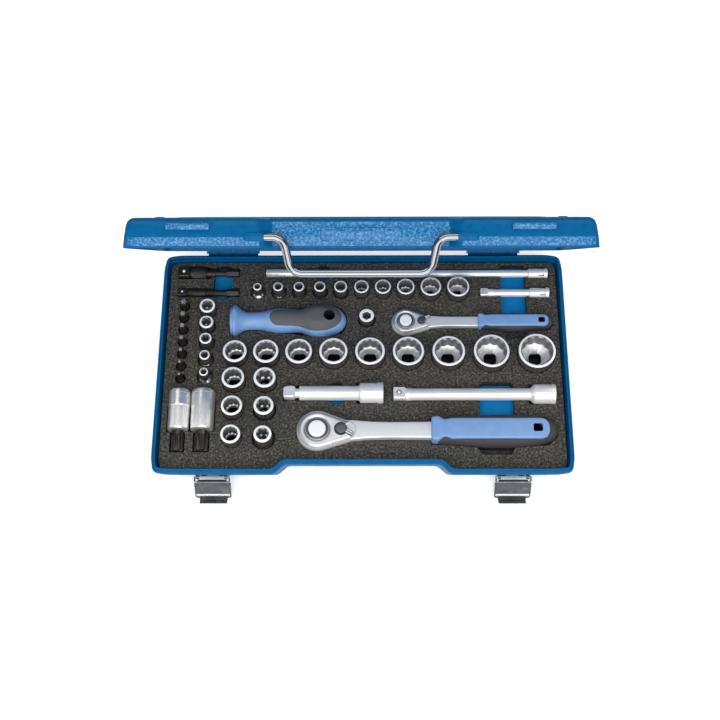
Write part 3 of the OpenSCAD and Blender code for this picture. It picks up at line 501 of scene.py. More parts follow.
M = make_enamels()
M.update(
    foam_blue=make_blue_foam(),
    foam_dark=plain(
        "foam_dark", (0.06, 0.057, 0.05), 0.0, 0.97, ((1.7, 4, 0.8), [
            (0.34, (0.02, 0.019, 0.016)), (0.46, (0.048, 0.045, 0.039)),
            (0.54, (0.082, 0.077, 0.067)), (0.68, (0.225, 0.21, 0.182))]),
        relief=[((1.1, 4, 0.7), 0.6), ((14, 2), 0.25)], Specular_IOR_Level=0.15),
    chrome=plain(
        "chrome", (0.26, 0.275, 0.295), 1.0, 0.06,
        shine=((6, 4), [(0.35, 0.04), (0.7, 0.1)]), relief=[((9, 2), 0.02)]),
    satin=plain(
        "satin_chrome", (0.88, 0.88, 0.88), 0.5, 0.4, ((1.4, 4, 0.7), spread(0.84, 0.91)),
        ((3, 5), [(0.35, 0.36), (0.7, 0.5)]), [((0.35, 3), 0.012)]),
    bright=plain(
        "bright_chrome", (0.95, 0.95, 0.95), 0.4, 0.32,
        ((2.5, 4, 0.7), spread((0.9, 0.9, 0.905), (0.97, 0.97, 0.97))),
        ((4, 5), [(0.35, 0.28), (0.7, 0.4)]), [((0.5, 3, 0.6, (0.12, 1, 1)), 0.01)]),
    rim=plain(
        "polished_rim", (0.98, 0.98, 0.98), 0.1, 0.42, ((1.2, 3), spread(0.95, 0.99)),
        ((1.2, 3), spread(0.32, 0.5)), [((0.4, 3), 0.01)]),
    # painted light and shade: a mid grey for edges, darker than the ratchet's satin on its bevel and
    # bore edge, lighter than the latch's zinc on its cross bead; it also colours the drive ring's top
    rim_grey=plain(
        "grey_painted_edge_shade_and_highlight", (0.55, 0.55, 0.57), 0.7, 0.35,
        shine=((1.2, 3), spread(0.28, 0.45)), relief=[((0.4, 3), 0.01)]),
    barrel=plain(
        "bit_barrel", (0.88, 0.88, 0.875), 0.85, 0.32,
        ((1.6, 4, 0.7), spread((0.8, 0.8, 0.795), (0.94, 0.94, 0.935))),
        ((2.5, 4), spread(0.28, 0.42))),
    shell=plain(
        "socket_shell", (0.5, 0.49, 0.48), 0.95, 0.24,
        ((2.2, 4, 0.6), spread((0.36, 0.35, 0.34), (0.5, 0.49, 0.48))),
        ((3, 4), spread(0.18, 0.32)), [((0.5, 3), 0.01)]),
    bronze=plain(
        "bronzed_steel", (0.07, 0.065, 0.06), 0.7, 0.34, ((2.2, 4, 0.6, (1, 0.2, 1)), [
            (0.3, (0.025, 0.023, 0.024)), (0.55, (0.065, 0.058, 0.052)), (0.8, (0.2, 0.18, 0.16))]),
        relief=[((0.4, 3), 0.015)]),
    inner=plain(
        "broached_wall", (0.3, 0.3, 0.315), 0.75, 0.5,
        ((0.8, 4, 0.7, (1, 1, 0.12)), spread((0.2, 0.2, 0.215), (0.42, 0.42, 0.44))),
        ((2, 4), spread(0.44, 0.6)), [((0.5, 3, 0.6, (1, 1, 0.1)), 0.03)]),
    # painted shade: near-black for the insides of holes, drive squares and bores
    hollow=plain(
        "painted_hole_shade", (0.02, 0.02, 0.024), 0.4, 0.55,
        ((1.5, 3), spread((0.016, 0.018, 0.028), (0.04, 0.044, 0.064))), relief=[((0.6, 3), 0.02)]),
    zinc=plain(
        "latch_zinc", (0.105, 0.115, 0.125), 0.85, 0.3, ((6.5, 3, 0.5), [
            (0.3, (0.08, 0.088, 0.096)), (0.55, (0.105, 0.115, 0.125)), (0.8, (0.155, 0.168, 0.18))]),
        ((2.5, 4), spread(0.22, 0.4)), [((0.7, 3, 0.6, (0.15, 1, 1)), 0.015)]),
    nickel=plain(
        "nickel", (0.9, 0.88, 0.82), 0.6, 0.3,
        shine=((3, 4), spread(0.26, 0.38)), relief=[((0.5, 3, 0.6, (0.1, 1, 1)), 0.006)]),
    black=plain(
        "black_steel", (0.03, 0.027, 0.025), 0.55, 0.42, ((1.6, 5, 0.7), [
            (0.35, (0.018, 0.016, 0.015)), (0.6, (0.045, 0.04, 0.036)), (0.85, (0.12, 0.11, 0.1))]),
        ((1.1, 4), spread(0.34, 0.56)), [((0.4, 4), 0.02)], Specular_IOR_Level=0.6),
    tip=plain(
        "light_grey_tip_face", (0.42, 0.41, 0.4), 0.75, 0.38,
        ((0.8, 4, 0.7), spread((0.22, 0.21, 0.2), (0.6, 0.59, 0.57))), relief=[((0.4, 3), 0.02)]),
    # also painted shade in the ratchet head's lever pocket
    dark=plain(
        "dark_ring_and_pocket_shade", (0.17, 0.17, 0.18), 0.75, 0.35,
        ((0.6, 4, 0.7), spread((0.1, 0.1, 0.105), (0.24, 0.24, 0.245))), relief=[((0.3, 3), 0.015)]),
    grip=plain(
        "grip_blue", (0.2, 0.36, 0.66), 0.0, 0.42,
        ((7, 4), spread((0.185, 0.34, 0.63), (0.215, 0.38, 0.69))),
        ((1.2, 4), spread(0.36, 0.52)), [((0.35, 2), 0.015)],
        Specular_IOR_Level=0.4, Coat_Weight=0.1, Coat_Roughness=0.3),
    skin=plain(
        "grip_grey", (0.08, 0.08, 0.083), 0.0, 0.75, ((0.6, 4, 0.75), [
            (0.3, (0.036, 0.036, 0.038)), (0.6, (0.06, 0.06, 0.062)), (0.8, (0.1, 0.097, 0.094))]),
        ((1.0, 3), spread(0.62, 0.85)), [((0.5, 3), 0.05)], Specular_IOR_Level=0.35),
    soft=plain(
        "insert_grey", (0.12, 0.125, 0.132), 0.0, 0.7, ((0.8, 4, 0.75), [
            (0.3, (0.075, 0.08, 0.086)), (0.6, (0.115, 0.122, 0.13)), (0.8, (0.17, 0.175, 0.18))]),
        ((1.0, 3), spread(0.58, 0.8)), [((0.5, 3), 0.05)], Specular_IOR_Level=0.35),
)

# ------------------------------------------------------------------ the case
TRAY_HI = box_mm("case_tray")[1]
HALF_W, HALF_D = TRAY_HI.x, TRAY_HI.y
LIP_TOP = TRAY_HI.z
SHOULDER = LIP_TOP - 2.2
HINGE = Vector(JOINTS["lid_hinge"]["pos_m"]) / MM
OPEN_DEG = -JOINTS["lid_hinge"]["range_deg"][0]
AT_LID = (Matrix.Translation(HINGE) @ Matrix.Rotation(math.radians(-OPEN_DEG), 4, "X")
          @ Matrix.Translation(-HINGE))
LID_Z = HINGE.z
LID_H = 20.5
DRAFT = 2.0
TRAY_DRAFT = 6.4
RECESS, RECESS_DEEP = 59, 7.7


def case_outline(inset):
    """The case's outline, counter-clockwise, with soft corners and the grip recess in front."""
    w, d = HALF_W, HALF_D
    points = [(-w, -d + 12), (-w + 1.8, -d + 1.8), (-w + 12, -d), (-RECESS - 8, -d),
              (-RECESS, -d + RECESS_DEEP), (RECESS, -d + RECESS_DEEP), (RECESS + 8, -d),
              (w - 12, -d), (w - 1.8, -d + 1.8), (w, -d + 12), (w, d - 12), (w - 1.8, d - 1.8),
              (w - 12, d), (-w + 12, d), (-w + 1.8, d - 1.8), (-w, d - 12)]
    corner, bow = max(5.5 - inset, 2.5), 45
    radii = [bow, corner, bow, 7, 7, 7, 7, bow, corner, bow, bow, corner, bow, bow, corner, bow]
    return rounded(mitred(points, inset), radii)


def make_tray():
    wall, skin, foot, lean = 1.6, 1.2, SHOULDER - 4, TRAY_DRAFT

    def row(z, inset):
        down = lean * (foot - min(z, foot)) / foot
        return [Vector((x * (1 - down / HALF_W), y * (1 - down / HALF_D), z))
                for x, y in case_outline(inset)]

    levels = [(0, 6.5), (0.05, 4.6), (0.6, 2.9), (1.9, wall + 0.15), (3.4, wall),
              (foot - 1.4, wall), (foot - 0.6, wall - 0.15), (foot - 0.1, 1.0),
              (foot + 0.2, 0.35), (foot + 0.8, 0), (SHOULDER - 0.9, 0),
              (SHOULDER - 0.3, 0.2), (SHOULDER, 0.7), (SHOULDER, 1.85), (SHOULDER + 0.3, 2.15),
              (LIP_TOP - 0.6, 2.2), (LIP_TOP - 0.15, 2.4), (LIP_TOP, 2.8), (LIP_TOP - 0.15, 3.2),
              (LIP_TOP - 0.6, 3.4), (SHOULDER - 2, 3.4), (SHOULDER - 2.6, wall + skin),
              (3.4, wall + skin), (1.9, wall + skin + 0.5), (skin, 5.5)]
    Shape().loft([row(z, inset) for z, inset in levels]).done(
        "tray", "case", "case_paint", M["enamel"], ["case_tray"], sharp=50)


def front_face(up):
    """A frame on the lid's leaning front wall: +Y goes into the wall and +Z up along it."""
    lean = math.atan(DRAFT / LID_H)
    return (Matrix.Translation((0, -HALF_D, LID_Z)) @ Matrix.Rotation(-lean, 4, "X")
            @ Matrix.Translation((0, 0, up)))


def face_panel(x0, x1, height, base, proud, radius, up):
    """A soft-edged panel pressed out of the front wall, from base deep to proud of it, its face in
    the orange peel with painted highlight.
    """
    corners, loops = rectangle(x0, 0, x1, height), []
    for share, inset in ((0, 0), (0.35, 0.08), (0.7, 0.3), (0.92, 0.65), (1, 1.15)):
        outline = rounded(mitred(corners, inset), max(radius - inset, 0.5))
        loops.append([Vector((x, base - proud * share, z)) for x, z in outline])
    return Shape().loft(loops, [0, 0, 1, 1]).moved(front_face(up))


def joined(*shapes):
    """One shape that holds the faces of all the others."""
    whole = Shape()
    for shape in shapes:
        part = shape.mesh("part")
        whole.bm.from_mesh(part)
        bpy.data.meshes.remove(part)
    return whole


def make_lid():
    skin, top = 1.2, LID_Z + LID_H
    slope = DRAFT / LID_H

    def at(up, extra=0.0):
        return (LID_Z + up, slope * up + extra)

    levels = [at(0, 0.35), at(0.4), at(1.4), at(7.2), at(8.4, 0.1), at(14.5, 0.5),
              at(LID_H - 3.0, 1.3), at(LID_H - 1.6, 2.2), at(LID_H - 0.6, 3.6),
              at(LID_H - 0.1, 5.0), at(LID_H, 6.3)]
    under = [at(LID_H - skin, 7.2), at(LID_H - skin - 0.5, 5.4), at(LID_H - skin - 1.6, 3.7),
             at(14.5, skin + 0.7), at(7.2, skin + 0.05), at(0.6, skin), at(0, skin - 0.3)]
    outer, inner = ([[Vector((x, y, z)) for x, y in case_outline(inset)] for z, inset in rows]
                    for rows in (levels, under))
    shell = Shape().loft(outer, caps=(False, True)).loft(inner, caps=(True, False))
    shell.loft([inner[-1], outer[0]], caps=(False, False))
    bmesh.ops.remove_doubles(shell.bm, verts=shell.bm.verts, dist=1e-4)
    bmesh.ops.recalc_face_normals(shell.bm, faces=shell.bm.faces)

    panel = Shape().plate(lambda inset: rounded(mitred(rectangle(-127, -78, 127, 78), inset), 12),
                          [(top - 0.4, 0), (top + 0.05, 0.1), (top + 0.4, 0.5), (top + 0.6, 1.2)])
    feet = []
    for x in (-137, 137):
        for y in (-68, 74):
            feet.append(Shape().turned((x, y, top - 0.3), AXIS_Z, rings(
                [(0, 3.8), (0.9, 3.4), (1.2, 3.1), (1.39, 2.5)], 32)))
    pads = [face_panel(s * 115 - 15, s * 115 + 15, 5.1, 2.0, 3.6, 1.2, 11.7) for s in (-1, 1)]
    label = face_panel(-27.5, 27.5, 9.4, RECESS_DEEP + 1.6, 2.3, 2.2, 5.4)

    # the lid's lit front faces, which get the orange peel with painted highlight
    def highlit_faces(at, normal):
        up = at.z - LID_Z
        return (normal.y < -0.9 and at.y < -HALF_D + 14 and 1.4 < up < LID_H - 3
                and (abs(at.x) < RECESS or up < 7.2))

    whole = joined(shell, panel, *feet, *pads, label).tint(1, highlit_faces)
    whole.moved(AT_LID).done("lid", "lid", "case_paint", [M["enamel"], M["highlit_peel"]], ["case_lid"],
                             sharp=50)


BAIL_Y, BAIL_Z = -HALF_D + 3.9, LID_Z + 7.1


def make_handle():
    """The handle's wire and the two sleeves that hold it."""
    bend, reach, turn, half, steps = 9, 24, 78, 39.3, 14
    sleeve_in, sleeve_out, elbow_x, wire_radius = 64.5, 77, 59, 2.75
    right = [(sleeve_out - 1, 0), (sleeve_in, 0), *arc(elbow_x, bend, bend, -90, -turn, steps),
             *arc(half, reach - bend, bend, 90 - turn, turn, steps)]
    path = right + [(half * f, reach) for f in (0.6, 0.2, -0.2, -0.6)]
    path += [(-x, y) for x, y in reversed(right)]
    wire = Shape().sweep([(x, BAIL_Y, BAIL_Z - y) for x, y in path], wire_radius, n=28)
    wire.moved(AT_LID).done("handle_wire", "handle", "chrome", M["chrome"], ["carry_handle"])
    sleeves = Shape()
    for s in (-1, 1):
        side = Matrix(((0, 0, s), (1, 0, 0), (0, s, 0)))
        sleeves.turned((0, BAIL_Y, BAIL_Z), side, rings(
            [(sleeve_in, 2.95), (sleeve_in, 3.9), (sleeve_in + 0.3, 4.2), (sleeve_in + 1, 4.3),
             (sleeve_out - 0.5, 4.3), (sleeve_out + 0.4, 4.0), (sleeve_out + 1.5, 3.1),
             (sleeve_out + 2.2, 2.3), (sleeve_out + 2.4, 1.6)], 40), caps=(False, True))
    sleeves.moved(AT_LID).done("handle_sleeves", "lid", "case_paint", M["enamel"],
                               ["handle_sockets"])


def make_latches():
    """On each side a wire link and a hook plate with a rolled end, a lip and pressed beads."""
    keep("latch_brackets", M["zinc"], 0.25)
    wire, roll, loop_half, hang_deg = 0.65, 0.73, 13.2, 58
    half, floor, end = 14.0, -roll - 1, -18.6
    left = [(-11, -0.4), (-half, -2.2), (-half + 0.7, end + 3.4), (-half + 0.9, end + 2),
            (-half + 3.2, end + 2), (-half + 3.4, end)]
    outline = left + [(-x, y) for x, y in reversed(left)]
    radii = [0.3, 0.8, 0.8, 0.8, 0.5, 0.6, 0.6, 0.5, 0.8, 0.8, 0.8, 0.3]
    lip = [(end + y, floor + z) for y, z in (
        (0.02, 0.4), (0.02, 4.6), (0.3, 5.3), (0.8, 5.4), (0.98, 5), (0.98, 1.6), (1.4, 1.02),
        (2, 0.9))]
    for side in ("left", "right"):
        origin = Vector(JOINTS[f"link_{side}_swing"]["pos_m"]) / MM
        grip = Vector(JOINTS[f"hook_{side}_swing"]["pos_m"]) / MM
        fall = math.atan2(origin.z - grip.z, origin.y - grip.y)
        at_link = Matrix.Translation(origin) @ Matrix.Rotation(fall, 4, "X")
        loop = rounded(rectangle(-loop_half, 0, loop_half, (origin - grip).length), 1.1, 5)
        Shape().sweep([(x, -y, 0) for x, y in loop], wire, n=12, close=True).moved(at_link).done(
            f"latch_wire_{side}", f"link_{side}", "chrome", M["chrome"],
            [f"latch_link_{side}"])
        at_hook = Matrix.Translation(grip) @ Matrix.Rotation(math.radians(hang_deg), 4, "X")
        hook = Shape().turned((0, 0, 0), AXIS_X, rings(
            [(-11, roll + 0.02), (-11, roll + 0.8), (-10.8, roll + 1), (10.8, roll + 1),
             (11, roll + 0.8), (11, roll + 0.02)], 40), close=True)
        hook.plate(lambda inset: rounded(mitred(outline, inset), radii),
                   [(floor, 0.25), (floor + 0.25, 0), (floor + 0.75, 0), (floor + 1, 0.25)])
        hook.loft([[Vector((x, y, z)) for y, z in lip] for x in (-half + 3.5, half - 3.5)])
        for x in (-half + 0.55, half - 0.55):
            hook.sweep([(x, -3.2 - 1.2 * i, floor + 0.95) for i in range(11)], 0.42, n=10)
        # painted highlight: the cross bead is coloured a grey far lighter than the plate's zinc
        hook.sweep([(x, end + 5.2, floor + 0.45) for x in (-half + 1.2, 0, half - 1.2)], 1.35,
                   n=20, index=1)
        hook.moved(at_hook).done(f"latch_plate_{side}", f"hook_{side}", "nickel",
                                 [M["zinc"], M["rim_grey"]], [f"latch_hook_{side}"])


# ------------------------------------------------------------------ sockets
def socket_shape(at, od, foot, length, across, square, points):
    """A socket standing on its drive end, as one closed turned form.

    od and foot are its outer diameters at the mouth and the drive end, and across is the size
    of its opening.
    """
    n = 96 if od > 14 else 72
    opening = twelve(across, n) if points == 12 else star(across * 1.06, n)
    stepped = foot > od + 0.6
    step = length * (0.52 if stepped else 0.34)
    low, high = foot / 2, od / 2
    groove = step * 0.55
    drive = prism(4, square / 2, n, 0.97)
    wide = prism(4, square / 2 + 0.5, n, 0.97)
    seat = across * (0.45 if points == 12 else 0.4)
    corner = max(math.hypot(*p) for p in opening)
    lead = 0.25 + 0.03 * across
    outside = [(0, low - 0.9), (0.3, low - 0.35), (0.9, low), (groove - 0.5, low),
               (groove - 0.3, low - 0.25), (groove + 0.3, low - 0.25), (groove + 0.5, low),
               (step - 0.5, low)]
    if stepped:
        outside += [(step, low - 0.15), (step + 0.5, low * 0.72 + high * 0.28),
                    (step + 1.3, low * 0.2 + high * 0.8), (step + 2.0, high)]
    else:
        outside += [(step, low), (step + 0.5, high)]
    outside.append((length - 0.7, high))
    stations, bands = rings(outside, n), [0] * (len(outside) - 1)
    ring = [(length - 0.35, high - 0.1), (length - 0.08, high - 0.32), (length, high - 0.5),
            (length, corner + 0.12)]
    for further, band in (
            (rings(ring, n), 1),
            ([(length - 0.2, circle(corner + 0.02, n)), (length - lead, opening),
              (length * 0.54, opening)], 2),
            ([*rings([(length * 0.52, seat), (length * 0.4, min(square * 0.56, seat * 0.98))], n),
              (length * 0.36, drive)], 4),
            ([(0.6, drive), (0, wide)], 3)):
        stations += further
        bands += [band] * len(further)
    return Shape().turned(at, AXIS_Z, stations, bands + [3], close=True)


# the fourth finish is the painted shade inside holes
SOCKET_FINISH = [M["shell"], M["rim"], M["inner"], M["hollow"], M["satin"]]


def make_sockets():
    big_length, small_length, big_square, small_square = 28, 25, 9.7, 6.4
    for size in (10, 11, 12, 13, 14, 15, 16, 17, 18, 19, 21, 22):
        node = f"socket_{size}"
        lo, hi = box_mm(node)
        od = hi.x - lo.x
        mid = (lo + hi) / 2
        socket_shape((mid.x, mid.y, lo.z), od, od, big_length, size, big_square, 12).done(
            f"{node}_shell", node, "satin_chrome", SOCKET_FINISH, [node])
    small_sizes = (4, 5, 5.5, 6, 7, 8, 9, 10, 12, 13)
    groups = [  # node, length, drive, points, (outer diameter, size) of each, order of places
        ("large_star_sockets", big_length, big_square, 6,
         lambda i: (17 - 1.6 * i, 12 - 1.5 * i), lambda lo: -lo.y),
        ("small_sockets", small_length, small_square, 12,
         lambda i: (1.22 * small_sizes[i] + 1.7, small_sizes[i]), lambda lo: lo.x),
        ("small_star_sockets", small_length, small_square, 6,
         lambda i: (12.2 - 1.35 * i, (12.2 - 1.35 * i) * 0.68), lambda lo: -lo.y),
    ]
    for node, length, square, points, sizes, order in groups:
        boxes = sorted(solids_mm(node), key=lambda b: order(b[0]))
        shapes = []
        for i, (lo, hi) in enumerate(boxes):
            od, across = sizes(i)
            mid = (lo + hi) / 2
            shapes.append(socket_shape((mid.x, mid.y, lo.z), od, hi.x - lo.x, length, across,
                                       square, points))
        joined(*shapes).done(f"{node}_shells", node, "satin_chrome", SOCKET_FINISH, [node])


# ------------------------------------------------------------------ turned tools
def detent(shape, at, radius, ball=1, ring=1):
    """A spring ball standing in its staked rim."""
    shape.ball((at[0], at[1], at[2] + radius * 0.1), radius, ball)
    rim = [(at[0] + x, at[1] + y, at[2] + 0.12) for x, y in circle(radius * 1.35, 28)]
    shape.sweep(rim, radius * 0.2, n=8, close=True, index=ring)


def make_extension(node, square, shaft, cup, cup_length, neck):
    lo, hi = box_mm(node)
    mid, length = (lo + hi) / 2, hi.x - lo.x
    n, a, end = 72, square / 2, length - cup_length
    stations = squares([(0, a - 0.5)], n, 0.9) + squares([(0.5, a), (square - 0.6, a)], n)
    stations += squares([(square - 0.2, a - 0.25)], n, 0.9)
    stations += rings([(square, a - 0.1), (square + 0.3, a + 0.3), (square + 4.3, a + 0.3),
                       (square + 4.7, shaft / 2), (end - neck, shaft / 2)], n)
    stations += rings(swell(shaft / 2, cup / 2 - 0.4, end - neck, end), n)
    stations += rings([(end + 0.4, cup / 2 - 0.3), (length - 4.0, cup / 2 - 0.3),
                       (length - 3.8, cup / 2 - 0.7), (length - 3.4, cup / 2 - 0.7),
                       (length - 3.2, cup / 2), (length - 0.6, cup / 2),
                       (length - 0.15, cup / 2 - 0.3), (length, cup / 2 - 0.7)], n)
    mouth = len(stations)
    stations += squares([(length, a + 0.5), (length - 0.5, a + 0.1),
                         (length - square - 1.5, a + 0.1)], n)
    # the square mouth inside takes the painted hole shade
    bands = [0] * mouth + [1] * (len(stations) - 1 - mouth)
    shape = Shape().turned((lo.x, mid.y, mid.z), AXIS_X, stations, bands)
    detent(shape, (lo.x + square * 0.47, mid.y, mid.z + a), square * 0.14, 0, 2)
    shape.done(f"{node}_bar", node, "chrome", [M["bright"], M["hollow"], M["dark"]], [node])


def make_wobble_extension():
    node = "large_short_extension"
    lo, hi = box_mm(node)
    mid, length, n = (lo + hi) / 2, hi.x - lo.x, 72
    stations = squares([(0, 3.5), (0.5, 4.05), (1.6, 4.35), (3.4, 4.65), (5.4, 4.75), (7.2, 4.6),
                        (8.4, 4.3), (9.0, 3.9)], n)
    stations += rings([(9.3, 3.75), (11.6, 3.75), (12.0, 4.1), (12.2, 5.3), (12.7, 5.75),
                       (57.6, 5.75), (58.1, 6.0)], n)
    stations += rings(swell(6.0, 7.95, 58.1, 59.6), n)
    stations += rings([(60.4, 8.1), (71.4, 8.1), (71.6, 7.7), (72.0, 7.7), (72.3, 8.45),
                       (length - 0.7, 8.5), (length - 0.2, 8.2), (length, 7.7)], n)
    mouth = len(stations)
    stations += squares([(length, 5.4), (length - 0.6, 4.85), (length - 11, 4.85)], n)
    # the square mouth inside takes the painted hole shade
    Shape().turned((lo.x, mid.y, mid.z), AXIS_X, stations,
                   [0] * mouth + [1] * (len(stations) - 1 - mouth)).done(
        f"{node}_bar", node, "chrome", [M["bright"], M["hollow"]], [node])


def make_bit_holder(start):
    n, slit_at = 72, math.radians(137)

    def slit(radius):
        return polar(lambda a: radius - 0.55 * (abs(a - slit_at) < 0.09), n)

    stations = [(0, circle(3.3, n)), (0.3, slit(3.65)), (0.6, slit(3.8)), (31.4, slit(3.8)),
                (32.0, circle(3.4, n)), (32.2, prism(6, 3.0, n))]
    stations += hexagons([(41.6, 3.07), (42.3, 2.4), (45.6, 2.4), (46.4, 3.07), (57.2, 3.07),
                          (57.9, 2.6)], n)
    # the hexagon inside takes the painted hole shade
    inside = [(t, prism(6, 3.2, n)) for t in (11, 0)]
    Shape().turned(start, AXIS_X, inside + stations, [1] * 2 + [0] * len(stations)).done(
        "bit_holder_body", "bit_holder", "nickel", [M["nickel"], M["hollow"]], ["bit_holder"])


def make_black_adaptor(node, start, square, neck, hexagon, tip, ball):
    """A drive square with its ball, a turned neck and a hexagon that takes the tool."""
    n = 72
    shape = Shape().turned(start, AXIS_X, [
        *squares(square[:1], n, 0.9), *squares(square[1:3], n), *squares(square[3:], n, 0.9),
        *rings(neck, n), *hexagons(hexagon, n), (tip, prism(6, 2.6, n))])
    along, up, radius = ball
    detent(shape, (start[0] + along, start[1], start[2] + up), radius, 1, 0)
    shape.done(f"{node}_body", node, "black_steel", [M["black"], M["rim"]], [node])


def make_adaptor_sleeve(x, y, z):
    lo, hi = box_mm("quick_adaptor_sleeve")
    length, n, teeth = hi.x - lo.x, 144, 36
    ribbed = polar(lambda a: 5.1 - 0.16 * (math.cos(teeth * a) < 0), n)
    Shape().turned((x, y, z), AXIS_X, [
        *rings([(0, 3.3), (0, 4.7), (0.4, 5.1), (1.6, 5.1)], n),
        (1.8, ribbed), (length - 1.8, ribbed),
        *rings([(length - 1.6, 5.1), (length - 0.4, 5.1), (length, 4.7), (length, 3.3)], n),
    ], close=True).done(
        "adaptor_sleeve_ribbed", "adaptor_sleeve", "black_steel", M["black"],
        ["quick_adaptor_sleeve"])


def make_thin_tools():
    """The bit holder and the two black adaptors, which lie along X at one height."""
    height = centre_mm("bit_holder").z
    start = {node: (box_mm(node)[0].x, centre_mm(node).y, height)
             for node in ("bit_holder", "quick_adaptor", "square_adaptor")}
    make_bit_holder(start["bit_holder"])
    make_black_adaptor(
        "quick_adaptor", start["quick_adaptor"], [(0, 3.6), (0.6, 4.15), (8.2, 4.2), (8.9, 3.7)],
        [(9.2, 3.2), (29.4, 3.2), (30.2, 2.6), (37.8, 2.6)], [(38.6, 3.07), (48.2, 3.07)], 48.8,
        (4.4, 4.2, 1.2))
    make_adaptor_sleeve(box_mm("quick_adaptor_sleeve")[0].x, start["quick_adaptor"][1], height)
    make_black_adaptor(
        "square_adaptor", start["square_adaptor"], [(0, 2.7), (0.5, 3.15), (7.0, 3.15), (7.5, 2.8)],
        [(7.8, 3.1), (8.2, 3.3), (21.8, 3.3), (22.6, 2.6), (38.2, 2.6)],
        [(39.0, 3.07), (48.3, 3.07)], 48.9, (3.4, 3.15, 0.85))


def make_bit_adaptor():
    lo, hi = box_mm("bit_adaptor")
    mid, length, n = (lo + hi) / 2, hi.z - lo.z, 72
    stations = [(0, prism(4, 3.7, n)), *rings([(0, 5.7), (0.3, 6.3), (0.9, 6.6), (4.0, 6.6),
                (4.2, 6.3), (4.8, 6.3), (5.0, 6.6), (11.3, 6.6)], n)]
    stations += rings(swell(6.6, 5.95, 11.3, 13.6, 4), n)
    stations += rings([(length - 0.7, 5.95), (length - 0.2, 5.75), (length, 5.3)], n)
    rim = len(stations)
    stations += [(length, prism(6, 3.6, n)), (length - 0.6, prism(6, 3.2, n)),
                 (11, prism(6, 3.2, n)), *rings([(10.9, 2.6), (8.1, 2.6)], n),
                 *squares([(8, 3.2), (0.5, 3.2)], n)]
    # the hexagon and square inside take the painted hole shade
    bands = [0] * (rim - 2) + [1] * 3 + [2] * 2 + [3] * (len(stations) - rim - 3)
    Shape().turned((mid.x, mid.y, lo.z), AXIS_Z, stations, bands, close=True).done(
        "bit_adaptor_body", "bit_adaptor", "chrome", SOCKET_FINISH, ["bit_adaptor"])


def make_star_bits():
    """The row of seven bits standing in the foam, each smaller than the one behind."""
    shape, n = Shape(), 72
    boxes = sorted(solids_mm("star_bits"), key=lambda b: -b[0].y)
    for i, (lo, hi) in enumerate(boxes):
        size = 6.6 - 0.62 * i
        mid, top = (lo + hi) / 2, hi.z - lo.z
        stations = hexagons([(0, 2.5), (0.8, 3.07), (5.4, 3.07), (6.1, 2.6), (7.3, 2.6),
                             (8.0, 3.07), (14.6, 3.07)], n)
        stations += rings([(15.6, 2.95), (17.0, size * 0.47 + 0.25)], n)
        stations += [(17.8, star(size, n)), (top - 0.9, star(size, n)),
                     (top - 0.01, star(size, n, -0.13 * size)),
                     (top, star(size, n, -0.15 * size))]
        # each bit's flat top face takes a light grey
        shape.turned((mid.x, mid.y, lo.z), AXIS_Z, stations, [0] * (len(stations) - 2) + [1])
    shape.done("star_bit_row", "star_bits", "black_steel", [M["black"], M["tip"]], ["star_bits"])


def make_bit_sockets():
    """The two lying bit sockets and the bit pressed into each."""
    n = 72
    for side, waist, size in (("left", 13.4, 9.6), ("right", 0, 10.8)):
        node = f"bit_socket_{side}"
        lo, hi = box_mm(node)
        mid, length, r = (lo + hi) / 2, hi.y - lo.y, (hi.x - lo.x) / 2
        stations = [(11, prism(4, 4.85, n)), (0.5, prism(4, 4.85, n)), (0, prism(4, 5.3, n))]
        stations += rings([(0, r - 1.6), (0.15, r - 0.8), (0.6, r - 0.3), (1.3, r), (3.4, r),
                           (3.6, r - 0.3), (4.1, r - 0.3), (4.3, r)], n)
        if waist:
            stations += rings([(waist, r), (waist + 0.3, r - 0.22), (waist + 0.9, r - 0.4)], n)
        else:
            stations += rings([(14, r - 0.05), (15, r - 0.2)], n)
        stations += rings([(length - 1.6, r - 0.42), (length - 0.7, r - 0.75),
                           (length - 0.2, r - 1.3), (length, r - 2.1)], n)
        stations += [(length, prism(6, 4.25, n)), (length - 14, prism(6, 4.0, n))]
        # the drive square and the hexagon hole take the painted hole shade
        Shape().turned((mid.x, hi.y, mid.z), AXIS_FRONT, stations,
                       [1] * 3 + [0] * (len(stations) - 5) + [1]).done(
            f"{node}_body", node, "satin_chrome", [M["barrel"], M["hollow"]], [node])

        node = f"star_tip_{side}"
        lo, hi = box_mm(node)
        mid, length = (lo + hi) / 2, hi.y - lo.y
        stations = [(0, prism(6, 3.3, n)), *hexagons([(0.6, 3.85), (14.0, 3.85)], n),
                    (15.0, circle(size * 0.41, n))]
        stations += [(t, star(size, n, grow)) for t, grow in (
            (17.0, -0.3), (18.2, 0), (length - 1.2, 0), (length - 0.5, -0.15), (length, -0.8))]
        Shape().turned((mid.x, hi.y, mid.z), AXIS_FRONT, stations).done(
            f"{node}_bit", f"bit_socket_{side}", "black_steel", M["bronze"], [node])


